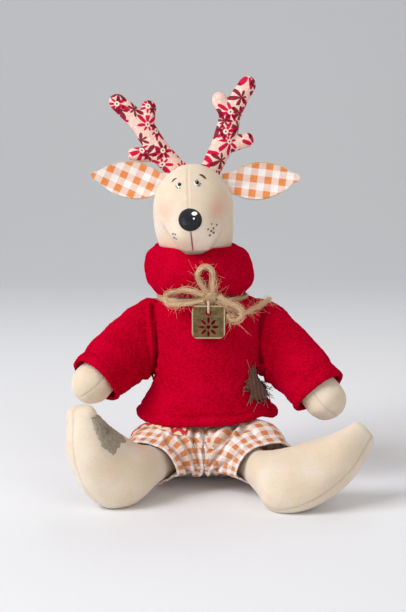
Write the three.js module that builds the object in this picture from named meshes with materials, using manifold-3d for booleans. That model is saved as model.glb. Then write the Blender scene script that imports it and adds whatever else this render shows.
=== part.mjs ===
// A seated plush reindeer doll in a fleece sweater and gingham shorts, in millimetres.
// +Z is up and the doll faces -Y. The origin is in the flat seat face of the shorts.
// Sides are named as a viewer in front of the doll sees them: west is at -X and east is at +X.
import * as THREE from "three";
import Module from "manifold-3d";
import { mergeVertices } from "three/addons/utils/BufferGeometryUtils.js";

const wasm = await Module();
wasm.setup();

// Clearances and cloth
const seamGap = 0.35; // between pieces that touch or are sewn to each other
const turnGap = 0.7; // between pieces that turn past each other
const fleeceWall = 2.2;
const cottonWall = 1.4;
const trimWall = 0.9; // patches and tape
const overrun = 6; // how far a cutter runs past what it cuts
const mergeDistance = 1e-4;

// Seat and hips
const hipCentre = new THREE.Vector3(2, -25.5, 19.5); // middle of the line through both hips
const hipSpacing = 24; // from that middle to each hip
const hipTurn = THREE.MathUtils.degToRad(-5); // the doll sits turned a little
const gussetHalf = 5; // half the width of the shorts between the legs
const gussetRadius = 19; // of the cloth between the legs, round the hip line
const knobRadius = 8; // end of the leg where it is sewn to the body

// Stuffed body
const trunkHalfWidth = 29;
const trunkHalfDepth = 27;
const trunkX = 2;
const trunkY = 0;
const neckSeamHeight = 123.6;
const neckRise = 8.6; // from the shoulders up to that seam
const shoulderHeight = neckSeamHeight - neckRise;
const neckStubRadius = 15.5;

// Shorts
const seatHalfWidth = 34;
const seatHalfDepth = 30.5;
const waistHeight = 52;
const shortsHipRadius = 22.5;
const shortsOpeningTall = 16.2;
const shortsOpeningWide = { west: 22, east: 24.4 };
const shortsOpeningDrop = 1.3; // from the hip down to the middle of the opening
const shortsLength = 27; // from the hip to the opening
const shortsYaw = { west: THREE.MathUtils.degToRad(31), east: THREE.MathUtils.degToRad(30) };
const floorEase = 0.3; // under the cloth of the shorts' legs
const tapeWidth = 5;
const tapeFromHip = 14.5;
const tapeHeight = 27; // the tape's ends stop at this height

// Legs
const legReach = 58; // from the hip to the middle of the heel
const thighRadius = 11.6;
const ankleRadius = 15.4;
const footLength = 71; // from under the heel to the tip of the toe
const toeDome = 8;
const heelFlat = 0.5; // how deep the heel is pressed flat
const legYaw = { west: THREE.MathUtils.degToRad(41), east: THREE.MathUtils.degToRad(38) };
const footRoll = { west: THREE.MathUtils.degToRad(6), east: THREE.MathUtils.degToRad(49) }; // the toe leans outwards

// Sweater
const chestHalfWidth = 34;
const chestHalfDepth = 33;
const bellyForward = 2.5;
const hemHeight = 42;
const sweaterTop = 118.6;
const neckHoleRadius = 18.4;
const shoulderDrop = 23.6; // from the top of the sweater down to the arms' hinge line
const shoulderAxisHeight = sweaterTop - shoulderDrop;
const shoulderFace = 34.4; // from the middle of the chest to the flat root of a sleeve
const armHoleRadius = 13;
const sleeveRootTall = 25;
const sleeveRootWide = 17;
const sleeveRootDrop = 2;
const sleeveBend = 17; // how far the sleeve runs out sideways before it hangs
const armBend = 10;
const cuffTall = 18.5;
const cuffWide = 17.5;
const cuffOut = { west: 36.6, east: 38.2 }; // from the shoulder to the middle of the cuff
const cuffForward = 24;
const cuffDrop = { west: 26, east: 34 };

// Arms
const armSeat = 27; // from the middle of the chest to the flat root of an arm
const armRadius = 9.8;
const handRadius = 13.2;
const handPast = { west: 3, east: 6 }; // from the cuff to where the hand rounds off

// Head
const headAxis = new THREE.Vector2(-5, 1);
const headLean = 1.3; // the crown stands this far west of the neck
const headTop = 205;
const headHalfWidth = 25.8;
const cheekHeight = 175;
const muzzleLength = 45.5; // from the head's axis to the tip
const muzzleSpread = THREE.MathUtils.degToRad(30); // half the angle that the muzzle takes
const muzzleMiddle = 168; // height of its tip
const chinHeight = 151.6;
const chinShare = 0.6; // width of the chin over the muzzle's
const browHeight = 194; // where the bridge of the nose runs out

// Antlers
const antlerLength = 65;
const antlerRadius = 7.1;
const tineRadius = 5.1;
const antlerThickShare = 0.72;
const antlerFootX = { west: -14.5, east: 4 };
const antlerY = 9.5;
const antlerFootHeight = { west: 199, east: 200 };
const antlerLean = { west: THREE.MathUtils.degToRad(41), east: THREE.MathUtils.degToRad(23) }; // outwards

// Ears
const earLength = 41;
const earHalfWidth = 12.2;
const earWall = 1.5;
const earCup = 4.5; // how deep the ear is hollowed
const liningShare = 0.92; // width of the lining over the ear's
const earHeight = 192.5;
const earRootX = { west: -28, east: 18.4 };
const earY = 3;
const earRise = { west: THREE.MathUtils.degToRad(7), east: THREE.MathUtils.degToRad(5) }; // the tip points above level

// Collar
const collarBottom = 122.4;
const collarTop = 152.6;
const collarDip = 2; // how far its rim sinks under the chin
const collarHalfWidth = 35.2;
const collarHalfDepth = 32.6;
const collarX = -1.6;

// Twine and tag
const twineDiameter = 2;
const twineRingWide = 29;
const twineRingDeep = 27;
const twineRingX = -0.5;
const knotAt = new THREE.Vector3(4.8, -33.6, 123.4);
const knotHalf = new THREE.Vector3(4.8, 3.6, 3.1);
const tagSide = 20.7;
const tagThick = 1.5;
const tagCorner = 3.6;
const tagRimWidth = 0.9;
const tagRimRise = 0.35;
const tagTopBar = 1; // from the pivot up to the top edge
const tagHoleRadius = 1.9;
const tagLoopRadius = 3.4;
const tagLoopWire = 0.9; // radius of the twine strand that holds the tag
const tagPivot = new THREE.Vector3(3.4, -37.2, 118.2);
const tagTilt = THREE.MathUtils.degToRad(-2.5); // leans back on the chest
const flowerDrop = 12.5; // from the pivot to the middle of the flower
const petalCount = 8;
const petalHalfLength = 2.1;
const petalHalfWidth = 0.85;
const petalRadius = 4.3; // from the flower's middle to a petal's middle
const flowerHeart = 1.3;

// Looks
const calico = { color: 0xecdcc2, roughness: 0.85, metalness: 0 };
const fleece = { color: 0xb00823, roughness: 0.95, metalness: 0 };
const gingham = { color: 0xe6a869, roughness: 0.85, metalness: 0 };
const printCloth = { color: 0xd98a86, roughness: 0.85, metalness: 0 };
const jute = { color: 0xc3a37a, roughness: 0.95, metalness: 0 };
const brass = { color: 0x8f8558, roughness: 0.4, metalness: 1 };
const brownKnit = { color: 0x6b5343, roughness: 0.95, metalness: 0 };
const greyFelt = { color: 0x8d8c7c, roughness: 0.95, metalness: 0 };
const creamTape = { color: 0xe9dcc0, roughness: 0.85, metalness: 0 };

// Outlines as shares, from the bottom or the root upwards
const trunkWideShares = [0.8, 0.98, 1.03, 1.03, 1, 0.98, 0.96, 0.92, 0.72];
const trunkDeepShares = [0.82, 0.94, 0.98, 1.02, 1.04, 1.03, 1, 0.92, 0.72];
const seatWideShares = [0.82, 0.97, 1.01, 1, 0.97, 0.95];
const seatDeepShares = [0.84, 0.97, 1.01, 1, 0.985, 0.97];
const sweaterWideShares = [1.34, 1.26, 1.13, 1.03, 0.985, 0.98, 0.98, 0.98, 0.985, 0.985, 0.985, 0.95];
const sweaterDeepShares = [1.13, 1.14, 1.13, 1.1, 1.06, 1.03, 1, 0.98, 0.96, 0.93, 0.88, 0.78];
const sweaterForwardShares = [1, 1, 0.96, 0.9, 0.84, 0.8, 0.8, 0.8, 0.8, 0.62, 0.3, 0];
const shortsTallShares = [1, 1, 0.98, 0.93, 0.87, 0.809];
const shortsWideShares = [1, 1.02, 1.01, 0.98, 0.94, 0.907];
const neckShares = [0.64, 0.668, 0.728, 0.81, 0.9, 0.962, 0.993, 1];
const collarShares = [0.84, 0.94, 0.985, 1, 0.995, 0.965, 0.9, 0.74];
const earShares = [0.6, 0.85, 1, 0.99, 0.87, 0.62, 0.24];
const armShares = [1, 1.02, 1.05, 1.12, 1.24, 1.34];
const beamShares = [0.95, 1, 1.02, 0.98, 0.86, 0.79];

// Edges of a leg's side panel: along the leg as a share of its reach, then across it as a share of
// the foot's length. The instep edge and the sole edge run from the hip to the toe.
const instepShares = [[0, 0.163], [0.24, 0.166], [0.45, 0.194], [0.62, 0.255], [0.78, 0.375], [0.93, 0.515], [1.06, 0.66]];
const soleShares = [[0, -0.15], [0.45, -0.128], [0.9, -0.221], [1.17, -0.155], [1.34, 0.03], [1.4, 0.3], [1.33, 0.62]];
const legBulgeShares = [0.753, 0.82, 0.90, 1, 0.98, 0.88, 0.52];

// Outlines of the patches in the plane that faces the viewer, across then up, as shares of the
// half width of the chest and of the leg's reach
const sweaterPatchShares = [[0.92, 2.28], [0.85, 2.2], [0.72, 1.9], [0.82, 1.8], [0.84, 1.68], [1.03, 1.6], [1.22, 1.56], [1.15, 1.8], [0.98, 1.95]];
const footPatchShares = [[-1.17, 1.1], [-0.98, 0.98], [-0.8, 0.68], [-0.93, 0.62], [-1.06, 0.72], [-1.12, 0.9]];

const up = new THREE.Vector3(0, 0, 1);
const eastward = new THREE.Vector3(1, 0, 0);
const sideNames = ["west", "east"];
const sideSign = { west: -1, east: 1 };

// A smooth curve through values at even steps from 0 to 1.
function through(values, size = 1) {
  const curve = new THREE.SplineCurve(values.map((v, i) => new THREE.Vector2(i, v * size)));
  return (s) => curve.getPoint(THREE.MathUtils.clamp(s, 0, 1)).y;
}

// The same for points in a plane, with a size for each direction.
function throughPoints(points, sizeA, sizeB) {
  const curve = new THREE.SplineCurve(points.map(([a, b]) => new THREE.Vector2(a * sizeA, b * sizeB)));
  return (s) => curve.getPoint(s);
}

function solidFrom(geometry) {
  const bare = geometry.clone();
  bare.deleteAttribute("normal");
  bare.deleteAttribute("uv");
  const merged = mergeVertices(bare, mergeDistance);
  const mesh = new wasm.Mesh({
    numProp: 3,
    vertProperties: merged.attributes.position.array,
    triVerts: new Uint32Array(merged.index.array),
  });
  return new wasm.Manifold(mesh);
}

function geometryFrom(solid) {
  const mesh = solid.getMesh();
  const geometry = new THREE.BufferGeometry();
  geometry.setAttribute("position", new THREE.BufferAttribute(mesh.vertProperties, 3));
  geometry.setIndex(new THREE.BufferAttribute(mesh.triVerts, 1));
  return geometry;
}

function middleOf(points) {
  return points.reduce((sum, p) => sum.add(p), new THREE.Vector3()).divideScalar(points.length);
}

// A closed skin over equal rings of points, with a fan to a pole at each end.
function skin(rings, firstPole = middleOf(rings[0]), lastPole = middleOf(rings[rings.length - 1])) {
  const around = rings[0].length;
  const points = [...rings.flat(), firstPole, lastPole];
  const first = points.length - 2;
  const lastRing = (rings.length - 1) * around;
  const faces = [];
  for (let i = 0; i < around; i += 1) {
    const next = (i + 1) % around;
    for (let ring = 0; ring < lastRing; ring += around) {
      faces.push([ring + i, ring + next, ring + next + around]);
      faces.push([ring + i, ring + next + around, ring + i + around]);
    }
    faces.push([first, next, i], [first + 1, lastRing + i, lastRing + next]);
  }
  const corner = ([a, b, c]) => points[a].dot(points[b].clone().cross(points[c]));
  const insideOut = faces.reduce((volume, face) => volume + corner(face), 0) < 0;
  const index = faces.flatMap(([a, b, c]) => (insideOut ? [a, c, b] : [a, b, c]));
  return solidFrom(new THREE.BufferGeometry().setFromPoints(points).setIndex(index));
}

// A tube that swells and tapers along a curve. tall and wide are functions that give the half sizes
// of its oval section. pads lengthen an end straight on, and domes round it off by a depth.
// cup bends the section about its wide direction, as an ear is hollowed.
function tube({ spine, tall, wide, upward = up, sides = 22, steps = 9, pads = [0, 0], domes = [0, 0], cup = () => 0 }) {
  const domeSteps = 4;
  const ringAt = (s, push, shrink) => {
    const along = spine.getTangent(s);
    const rise = upward.clone().addScaledVector(along, -upward.dot(along)).normalize();
    const side = new THREE.Vector3().crossVectors(along, rise);
    const middle = spine.getPoint(s).addScaledVector(along, push);
    return Array.from({ length: sides }, (_, i) => {
      const angle = (2 * Math.PI * i) / sides;
      const across = Math.cos(angle);
      return middle
        .clone()
        .addScaledVector(rise, tall(s) * shrink * across)
        .addScaledVector(side, wide(s) * shrink * Math.sin(angle) + cup(s) * shrink * (across * across - 1));
    });
  };
  const dome = (s, sign, depth) =>
    Array.from({ length: domeSteps - 1 }, (_, i) => {
      const angle = ((i + 1) * Math.PI) / 2 / domeSteps;
      return ringAt(s, sign * depth * Math.sin(angle), Math.cos(angle));
    });
  const tip = (s, sign, depth) => [ringAt(s, sign * depth, 1)];
  const rings = Array.from({ length: steps + 1 }, (_, i) => ringAt(i / steps, 0, 1));
  if (pads[0]) rings.unshift(...tip(0, -1, pads[0]));
  if (pads[1]) rings.push(...tip(1, 1, pads[1]));
  if (domes[0]) rings.unshift(...dome(0, -1, domes[0]).reverse());
  if (domes[1]) rings.push(...dome(1, 1, domes[1]));
  const pole = (s, sign, depth) => spine.getPoint(s).addScaledVector(spine.getTangent(s), sign * depth);
  const first = domes[0] ? pole(0, -1, domes[0]) : middleOf(rings[0]);
  const last = domes[1] ? pole(1, 1, domes[1]) : middleOf(rings[rings.length - 1]);
  return skin(rings, first, last);
}

// A form that stands upright, its oval sections stacked from the bottom to the top. dip is how far
// a section sinks at its front.
function standing({ heights, x, y, wide, deep, sides = 22, dip = () => 0 }) {
  return skin(
    heights.map((z) =>
      Array.from({ length: sides }, (_, i) => {
        const angle = (2 * Math.PI * i) / sides;
        const ahead = ((1 + Math.cos(angle)) / 2) ** 2;
        return new THREE.Vector3(x(z) + wide(z) * Math.sin(angle), y(z) - deep(z) * Math.cos(angle), z - dip(z) * ahead);
      }),
    ),
  );
}

function evenly(from, to, steps, ease = (s) => s) {
  return Array.from({ length: steps + 1 }, (_, i) => from + (to - from) * ease(i / steps));
}

const easeOut = (s) => Math.sin((s * Math.PI) / 2);
const easeBoth = (s) => (1 - Math.cos(s * Math.PI)) / 2;

function rod(radius, length, from, direction, sides = 32, farRadius = radius) {
  const geometry = new THREE.CylinderGeometry(farRadius, radius, length, sides).translate(0, length / 2, 0);
  const turn = new THREE.Quaternion().setFromUnitVectors(new THREE.Vector3(0, 1, 0), direction);
  return solidFrom(geometry.applyQuaternion(turn).translate(from.x, from.y, from.z));
}

function block(low, high) {
  const size = high.clone().sub(low);
  const middle = low.clone().add(high).multiplyScalar(0.5);
  return solidFrom(new THREE.BoxGeometry(size.x, size.y, size.z).translate(middle.x, middle.y, middle.z));
}

// What lies below a height, to cut a form flat where it rests.
function under(height) {
  return block(new THREE.Vector3(-headTop, -headTop, -headTop), new THREE.Vector3(headTop, headTop, height));
}

// A prism behind an outline that faces the viewer, across then up.
function facing(points, near, far) {
  const shape = new THREE.Shape(points.map(([a, b]) => new THREE.Vector2(a, b)));
  const geometry = new THREE.ExtrudeGeometry(shape, { depth: far - near, bevelEnabled: false });
  return solidFrom(geometry.rotateX(Math.PI / 2).translate(0, far, 0));
}

// Round cord along a curve.
function cord(points, diameter) {
  const section = new THREE.Shape().absarc(0, 0, diameter / 2, 0, 2 * Math.PI);
  const path = new THREE.CatmullRomCurve3(points.map(([x, y, z]) => new THREE.Vector3(x, y, z)));
  const steps = Math.ceil(path.getLength() / (2 * diameter));
  return solidFrom(
    new THREE.ExtrudeGeometry(section, { extrudePath: path, steps, curveSegments: 4, bevelEnabled: false }),
  );
}

// Hips
const hipLine = new THREE.Vector3(Math.cos(hipTurn), Math.sin(hipTurn), 0);
const hips = {
  west: hipCentre.clone().addScaledVector(hipLine, -hipSpacing),
  east: hipCentre.clone().addScaledVector(hipLine, hipSpacing),
};
const recessRadius = shortsHipRadius + turnGap;

function outward(side, angle) {
  return new THREE.Vector3(sideSign[side] * Math.sin(angle), -Math.cos(angle), 0);
}

// Rods on the hip line that leave a keel between them, as long as it takes to leave the doll.
function hipRods(radius, keelHalf) {
  const rods = sideNames.map((side) => {
    const direction = hipLine.clone().multiplyScalar(sideSign[side]);
    return rod(radius, seatHalfWidth + overrun, hipCentre.clone().addScaledVector(direction, keelHalf), direction, 26);
  });
  return rods[0].add(rods[1]);
}

// Shorts: the seat stays on the body, and each leg of the shorts turns with its leg.
function seatForm(inset, bottom, top) {
  const share = (z) => z / waistHeight;
  const wide = through(seatWideShares, seatHalfWidth);
  const deep = through(seatDeepShares, seatHalfDepth);
  return standing({
    heights: evenly(bottom, top, 7),
    x: () => trunkX,
    y: () => trunkY,
    wide: (z) => wide(share(z)) - inset,
    deep: (z) => deep(share(z)) - inset,
  });
}

// A disc on the hip line, between the legs.
function hipDisc(radius, half) {
  return rod(radius, 2 * half, hipCentre.clone().addScaledVector(hipLine, -half), hipLine, 22);
}

function makeShortsSeat() {
  const room = seatForm(cottonWall, cottonWall, waistHeight + overrun)
    .subtract(hipRods(recessRadius + cottonWall, gussetHalf - cottonWall))
    .add(hipDisc(gussetRadius - cottonWall, gussetHalf - cottonWall));
  return seatForm(0, 0, waistHeight)
    .subtract(hipRods(recessRadius, gussetHalf))
    .add(hipDisc(gussetRadius, gussetHalf))
    .subtract(room)
    .subtract(hipDisc(knobRadius + turnGap, 2 * gussetHalf));
}

const shortsSpine = (side) => {
  const opening = hips[side].clone().addScaledVector(outward(side, shortsYaw[side]), shortsLength).addScaledVector(up, -shortsOpeningDrop);
  return new THREE.LineCurve3(hips[side].clone(), opening);
};

// The cloth from the hip in to the gusset is a cone on the hip line.
function shortsInnerForm(side, inset) {
  const inward = hipLine.clone().multiplyScalar(-sideSign[side]);
  return rod(shortsHipRadius - inset, hipSpacing, hips[side], inward, 18, gussetRadius - inset);
}

function shortsLegForm(side, inset, pads) {
  const tallEnd = shortsOpeningTall / (shortsTallShares[shortsTallShares.length - 1] * shortsHipRadius);
  const wideEnd = shortsOpeningWide[side] / (shortsWideShares[shortsWideShares.length - 1] * shortsHipRadius);
  const tall = through(shortsTallShares, shortsHipRadius);
  const wide = through(shortsWideShares, shortsHipRadius);
  return tube({
    spine: shortsSpine(side),
    tall: (s) => tall(s) * THREE.MathUtils.lerp(1, tallEnd, s) - inset,
    wide: (s) => wide(s) * THREE.MathUtils.lerp(1, wideEnd, s) - inset,
    domes: [shortsHipRadius - inset, 0],
    pads,
    steps: 4,
    sides: 20,
  });
}

// What lies past the gusset as seen from one side.
function pastGusset(side) {
  const half = new THREE.BoxGeometry(2 * headTop, 2 * headTop, 2 * headTop);
  const shift = headTop - gussetHalf - turnGap;
  half.translate(-sideSign[side] * shift, 0, 0).rotateZ(hipTurn).translate(hipCentre.x, hipCentre.y, hipCentre.z);
  return solidFrom(half);
}

function makeShortsLeg(side) {
  return shortsLegForm(side, 0, [0, 0])
    .add(shortsInnerForm(side, 0))
    .subtract(shortsLegForm(side, cottonWall, [0, overrun]))
    .subtract(shortsInnerForm(side, cottonWall))
    .subtract(pastGusset(side))
    .subtract(under(floorEase));
}

function makeShortsTape() {
  const side = "west";
  const ahead = outward(side, shortsYaw[side]);
  const from = hips[side].clone().addScaledVector(ahead, tapeFromHip);
  const shell = shortsLegForm(side, -seamGap - trimWall, [0, 0]).subtract(shortsLegForm(side, -seamGap, [overrun, overrun]));
  return shell.intersect(rod(2 * shortsHipRadius, tapeWidth, from, ahead)).subtract(under(tapeHeight)).subtract(pastGusset(side));
}

// Legs, each from two equal panels: a section spans from the instep edge to the sole edge.
// The pitch brings the heel down to the floor, as deep as it is pressed flat.
function legPitch(side) {
  const roll = footRoll[side];
  const [heelAlong, heelAcross] = soleShares[2];
  const depth = Math.hypot(heelAcross * footLength * Math.cos(roll), legBulgeShares[2] * ankleRadius * Math.sin(roll));
  return Math.asin((hipCentre.z + heelFlat - depth) / (heelAlong * legReach));
}

function legFrame(side) {
  const level = outward(side, legYaw[side]);
  const pitch = legPitch(side);
  const along = level.clone().multiplyScalar(Math.cos(pitch)).addScaledVector(up, -Math.sin(pitch));
  const rise = up.clone().multiplyScalar(Math.cos(pitch)).addScaledVector(level, Math.sin(pitch));
  const out = new THREE.Vector3().crossVectors(level, up).multiplyScalar(-sideSign[side]);
  const roll = footRoll[side];
  const across = rise.clone().multiplyScalar(Math.cos(roll)).addScaledVector(out, Math.sin(roll));
  return { along, across, bulge: new THREE.Vector3().crossVectors(along, across) };
}

function legForm(side, grow) {
  const { along, across, bulge } = legFrame(side);
  const instep = throughPoints(instepShares, legReach, footLength);
  const sole = throughPoints(soleShares, legReach, footLength);
  const half = through(legBulgeShares, ankleRadius);
  const sides = 20;
  const steps = 12;
  const ringAt = (s, push, shrink) => {
    const middle = instep(s).add(sole(s)).multiplyScalar(0.5);
    const span = instep(s).sub(middle);
    span.setLength(span.length() + grow);
    const ahead = new THREE.Vector2(span.y, -span.x).normalize();
    middle.addScaledVector(ahead, push);
    return Array.from({ length: sides }, (_, i) => {
      const angle = (2 * Math.PI * i) / sides;
      const edge = shrink * Math.cos(angle);
      return hips[side]
        .clone()
        .addScaledVector(along, middle.x + span.x * edge)
        .addScaledVector(across, middle.y + span.y * edge)
        .addScaledVector(bulge, (half(s) + grow) * shrink * Math.sin(angle));
    });
  };
  const domeSteps = 4;
  const dome = (s, depth) =>
    Array.from({ length: domeSteps }, (_, i) => {
      const angle = (((i + 1) * Math.PI) / 2 / domeSteps) * 0.98;
      return ringAt(s, depth * Math.sin(angle), Math.cos(angle));
    });
  const rings = Array.from({ length: steps + 1 }, (_, i) => ringAt(i / steps, 0, 1));
  return skin([...dome(0, -thighRadius - grow).reverse(), ...rings, ...dome(1, toeDome + grow)]);
}

function makeLeg(side) {
  const inward = hipLine.clone().multiplyScalar(-sideSign[side]);
  const keelFace = gussetHalf - cottonWall - seamGap;
  const knob = rod(knobRadius, hipSpacing - keelFace - seamGap, hips[side], inward);
  return legForm(side, 0).add(knob).subtract(under(0));
}

function makeFootPatch() {
  const outline = footPatchShares.map(([a, b]) => [a * legReach, b * legReach]);
  const shell = legForm("west", seamGap + trimWall).subtract(legForm("west", seamGap));
  const inFront = facing(outline, -2 * headTop, hips.west.y - legReach * Math.cos(legYaw.west) + footLength / 4);
  return shell.intersect(inFront);
}

// Body inside, from the seat to the seam of the neck.
function makeStuffedBody() {
  const bottom = cottonWall + seamGap;
  const share = (z) => (z - bottom) / (shoulderHeight - bottom);
  const wide = through(trunkWideShares, trunkHalfWidth);
  const deep = through(trunkDeepShares, trunkHalfDepth);
  const trunk = standing({
    heights: evenly(bottom, shoulderHeight, 10, easeOut),
    x: () => trunkX,
    y: () => trunkY,
    wide: (z) => wide(share(z)),
    deep: (z) => deep(share(z)),
  });
  const neckFoot = new THREE.Vector3(headAxis.x, headAxis.y, shoulderHeight - overrun);
  const armSeats = sideNames.map((side) => {
    const seat = new THREE.Vector3(trunkX + sideSign[side] * armSeat, trunkY, shoulderAxisHeight);
    return rod(armHoleRadius, armSeat, seat, eastward.clone().multiplyScalar(sideSign[side]));
  });
  return trunk
    .add(rod(neckStubRadius, neckSeamHeight - neckFoot.z, neckFoot, up))
    .subtract(hipRods(recessRadius + cottonWall + seamGap, gussetHalf - cottonWall - seamGap))
    .add(hipDisc(gussetRadius - cottonWall - seamGap, gussetHalf - cottonWall - seamGap))
    .subtract(armSeats[0])
    .subtract(armSeats[1]);
}

// Sweater, open at the hem, the neck and the arm holes.
function sweaterForm(inset, bottom, top) {
  const share = (z) => (z - hemHeight) / (sweaterTop - hemHeight);
  const wide = through(sweaterWideShares, chestHalfWidth);
  const deep = through(sweaterDeepShares, chestHalfDepth);
  const forward = through(sweaterForwardShares, bellyForward);
  return standing({
    heights: evenly(bottom, top, 10, easeOut),
    x: () => trunkX,
    y: (z) => trunkY - forward(share(z)),
    wide: (z) => wide(share(z)) - inset,
    deep: (z) => deep(share(z)) - inset,
    sides: 26,
  });
}

function makeSweaterBody() {
  const neckFoot = new THREE.Vector3(headAxis.x, headAxis.y, shoulderHeight - overrun);
  const holesFrom = new THREE.Vector3(trunkX - shoulderFace - overrun, trunkY, shoulderAxisHeight);
  return sweaterForm(0, hemHeight, sweaterTop)
    .subtract(sweaterForm(fleeceWall, hemHeight - overrun, sweaterTop - fleeceWall))
    .subtract(rod(neckHoleRadius, sweaterTop - neckFoot.z + overrun, neckFoot, up))
    .subtract(hipRods(recessRadius, 0))
    .subtract(rod(armHoleRadius, 2 * (shoulderFace + overrun), holesFrom, eastward));
}

function makeSweaterPatch() {
  const outline = sweaterPatchShares.map(([a, b]) => [trunkX + a * chestHalfWidth, b * chestHalfWidth]);
  const shell = sweaterForm(-seamGap - trimWall, hemHeight, sweaterTop).subtract(
    sweaterForm(-seamGap, hemHeight, sweaterTop),
  );
  return shell.intersect(facing(outline, -2 * headTop, trunkY));
}

// Sleeves and arms run out sideways from the shoulder, then hang down and forward.
function armFrame(side) {
  const out = eastward.clone().multiplyScalar(sideSign[side]);
  const shoulder = new THREE.Vector3(trunkX, trunkY, shoulderAxisHeight).addScaledVector(out, shoulderFace);
  const bend = shoulder.clone().addScaledVector(out, armBend);
  const cuff = shoulder.clone().addScaledVector(out, cuffOut[side]).add(new THREE.Vector3(0, -cuffForward, -cuffDrop[side]));
  const hanging = cuff.clone().sub(bend).normalize();
  return { out, shoulder, bend, cuff, hanging };
}

function sleeveForm(side, inset, pad) {
  const { out, shoulder, cuff, hanging } = armFrame(side);
  const rise = up.clone().addScaledVector(hanging, -up.dot(hanging)).normalize();
  const rootMiddle = shoulder.clone().addScaledVector(up, -sleeveRootDrop);
  const sides = 18;
  const steps = 8;
  const oval = (middle, tallWay, wideWay, tall, wide, i) => {
    const angle = (2 * Math.PI * i) / sides;
    return middle
      .clone()
      .addScaledVector(tallWay, (tall - inset) * Math.cos(angle))
      .addScaledVector(wideWay, (wide - inset) * Math.sin(angle));
  };
  const across = new THREE.Vector3().crossVectors(hanging, rise);
  const rootAcross = new THREE.Vector3().crossVectors(out, up);
  const lines = Array.from({ length: sides }, (_, i) => {
    const root = oval(rootMiddle, up, rootAcross, sleeveRootTall, sleeveRootWide, i);
    const end = oval(cuff, rise, across, cuffTall, cuffWide, i);
    const upper = (1 + Math.cos((2 * Math.PI * i) / sides)) / 2;
    const line = new THREE.QuadraticBezierCurve3(root, root.clone().addScaledVector(out, sleeveBend * upper), end);
    const points = line.getPoints(steps);
    if (pad) {
      points.unshift(root.clone().addScaledVector(out, -pad));
      points.push(end.clone().addScaledVector(hanging, pad));
    }
    return points;
  });
  return skin(lines[0].map((_, ring) => lines.map((points) => points[ring])));
}

function makeSleeve(side) {
  return sleeveForm(side, 0, 0).subtract(sleeveForm(side, fleeceWall, overrun));
}

function makeArm(side) {
  const { out, shoulder, bend, cuff, hanging } = armFrame(side);
  const root = shoulder.addScaledVector(out, armSeat + seamGap - shoulderFace);
  const radius = through(armShares, armRadius);
  const last = handRadius / (armShares[armShares.length - 1] * armRadius);
  const round = (s) => radius(s) * THREE.MathUtils.lerp(1, last, s);
  return tube({
    spine: new THREE.QuadraticBezierCurve3(root, bend, cuff.addScaledVector(hanging, handPast[side])),
    tall: round,
    wide: round,
    domes: [0, handRadius],
    steps: 8,
    sides: 18,
  });
}

// Head and neck in one piece: an egg on a neck, drawn out ahead into the muzzle.
function headRadiusAt(z) {
  const high = (z - cheekHeight) / (headTop - cheekHeight);
  const share = (z - neckSeamHeight) / (cheekHeight - neckSeamHeight);
  return high > 0 ? headHalfWidth * Math.sqrt(1 - high * high) : through(neckShares, headHalfWidth)(share);
}

// The muzzle is round under the chin and runs up to the brow in a soft bridge.
function muzzleRiseAt(z) {
  const low = (muzzleMiddle - z) / (muzzleMiddle - chinHeight);
  const high = THREE.MathUtils.clamp((z - muzzleMiddle) / (browHeight - muzzleMiddle), 0, 1);
  const share = low > 0 ? Math.sqrt(Math.max(1 - low * low, 0)) : (1 + Math.cos(Math.PI * high)) / 2;
  return (muzzleLength - headHalfWidth) * share;
}

function headForm(grow) {
  const sides = 32;
  const crowding = 0.6; // brings the points of a ring closer together at the muzzle
  const heights = [
    ...evenly(neckSeamHeight + seamGap - grow, chinHeight - seamGap, 4),
    ...evenly(chinHeight, muzzleMiddle, 6, (s) => 1 - easeOut(1 - s)),
    ...evenly(muzzleMiddle, headTop, 11, easeOut).slice(1, -1),
  ];
  const leanAt = (z) => headLean * THREE.MathUtils.smoothstep(z, collarTop, cheekHeight);
  const spreadAt = (z) => muzzleSpread * THREE.MathUtils.lerp(chinShare, 1, THREE.MathUtils.smoothstep(z, chinHeight, muzzleMiddle));
  const rings = heights.map((z) =>
    Array.from({ length: sides }, (_, i) => {
      const even = ((2 * i - sides) * Math.PI) / sides;
      const angle = even - crowding * Math.sin(even);
      const lobe = Math.exp(-((angle / spreadAt(z)) ** 2));
      const far = headRadiusAt(z) + muzzleRiseAt(z) * lobe + grow;
      return new THREE.Vector3(headAxis.x - leanAt(z) + far * Math.sin(angle), headAxis.y - far * Math.cos(angle), z);
    }),
  );
  const crown = new THREE.Vector3(headAxis.x - headLean, headAxis.y, headTop + grow);
  return skin(rings, middleOf(rings[0]), crown);
}

function makeAntler(side) {
  const lean = antlerLean[side];
  const foot = new THREE.Vector3(antlerFootX[side], antlerY, antlerFootHeight[side]);
  const along = new THREE.Vector3(sideSign[side] * Math.sin(lean), 0, Math.cos(lean));
  const out = new THREE.Vector3(sideSign[side] * Math.cos(lean), 0, -Math.sin(lean));
  const at = ([a, b]) => foot.clone().addScaledVector(out, a * antlerLength).addScaledVector(along, b * antlerLength);
  const branch = (shares, radiusShares, radius, first) => {
    const half = through(radiusShares, radius);
    return tube({
      spine: new THREE.CatmullRomCurve3(shares.map(at)),
      tall: (s) => half(s) * antlerThickShare,
      wide: half,
      upward: new THREE.Vector3(0, -1, 0),
      sides: 12,
      steps: 2 * (shares.length - 1),
      domes: [first, half(1)],
    });
  };
  const beam = branch([[0, 0], [0.02, 0.3], [-0.02, 0.62], [0.015, 0.93]], beamShares, antlerRadius, 0);
  const outer = branch([[0.02, 0.26], [0.12, 0.34], [0.225, 0.43]], [0.9, 1, 0.94], tineRadius, 0);
  const inner = branch([[-0.02, 0.57], [-0.1, 0.62], [-0.185, 0.69]], [0.9, 1, 0.94], tineRadius, 0);
  return beam.add(outer).add(inner).subtract(headForm(seamGap));
}

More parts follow.
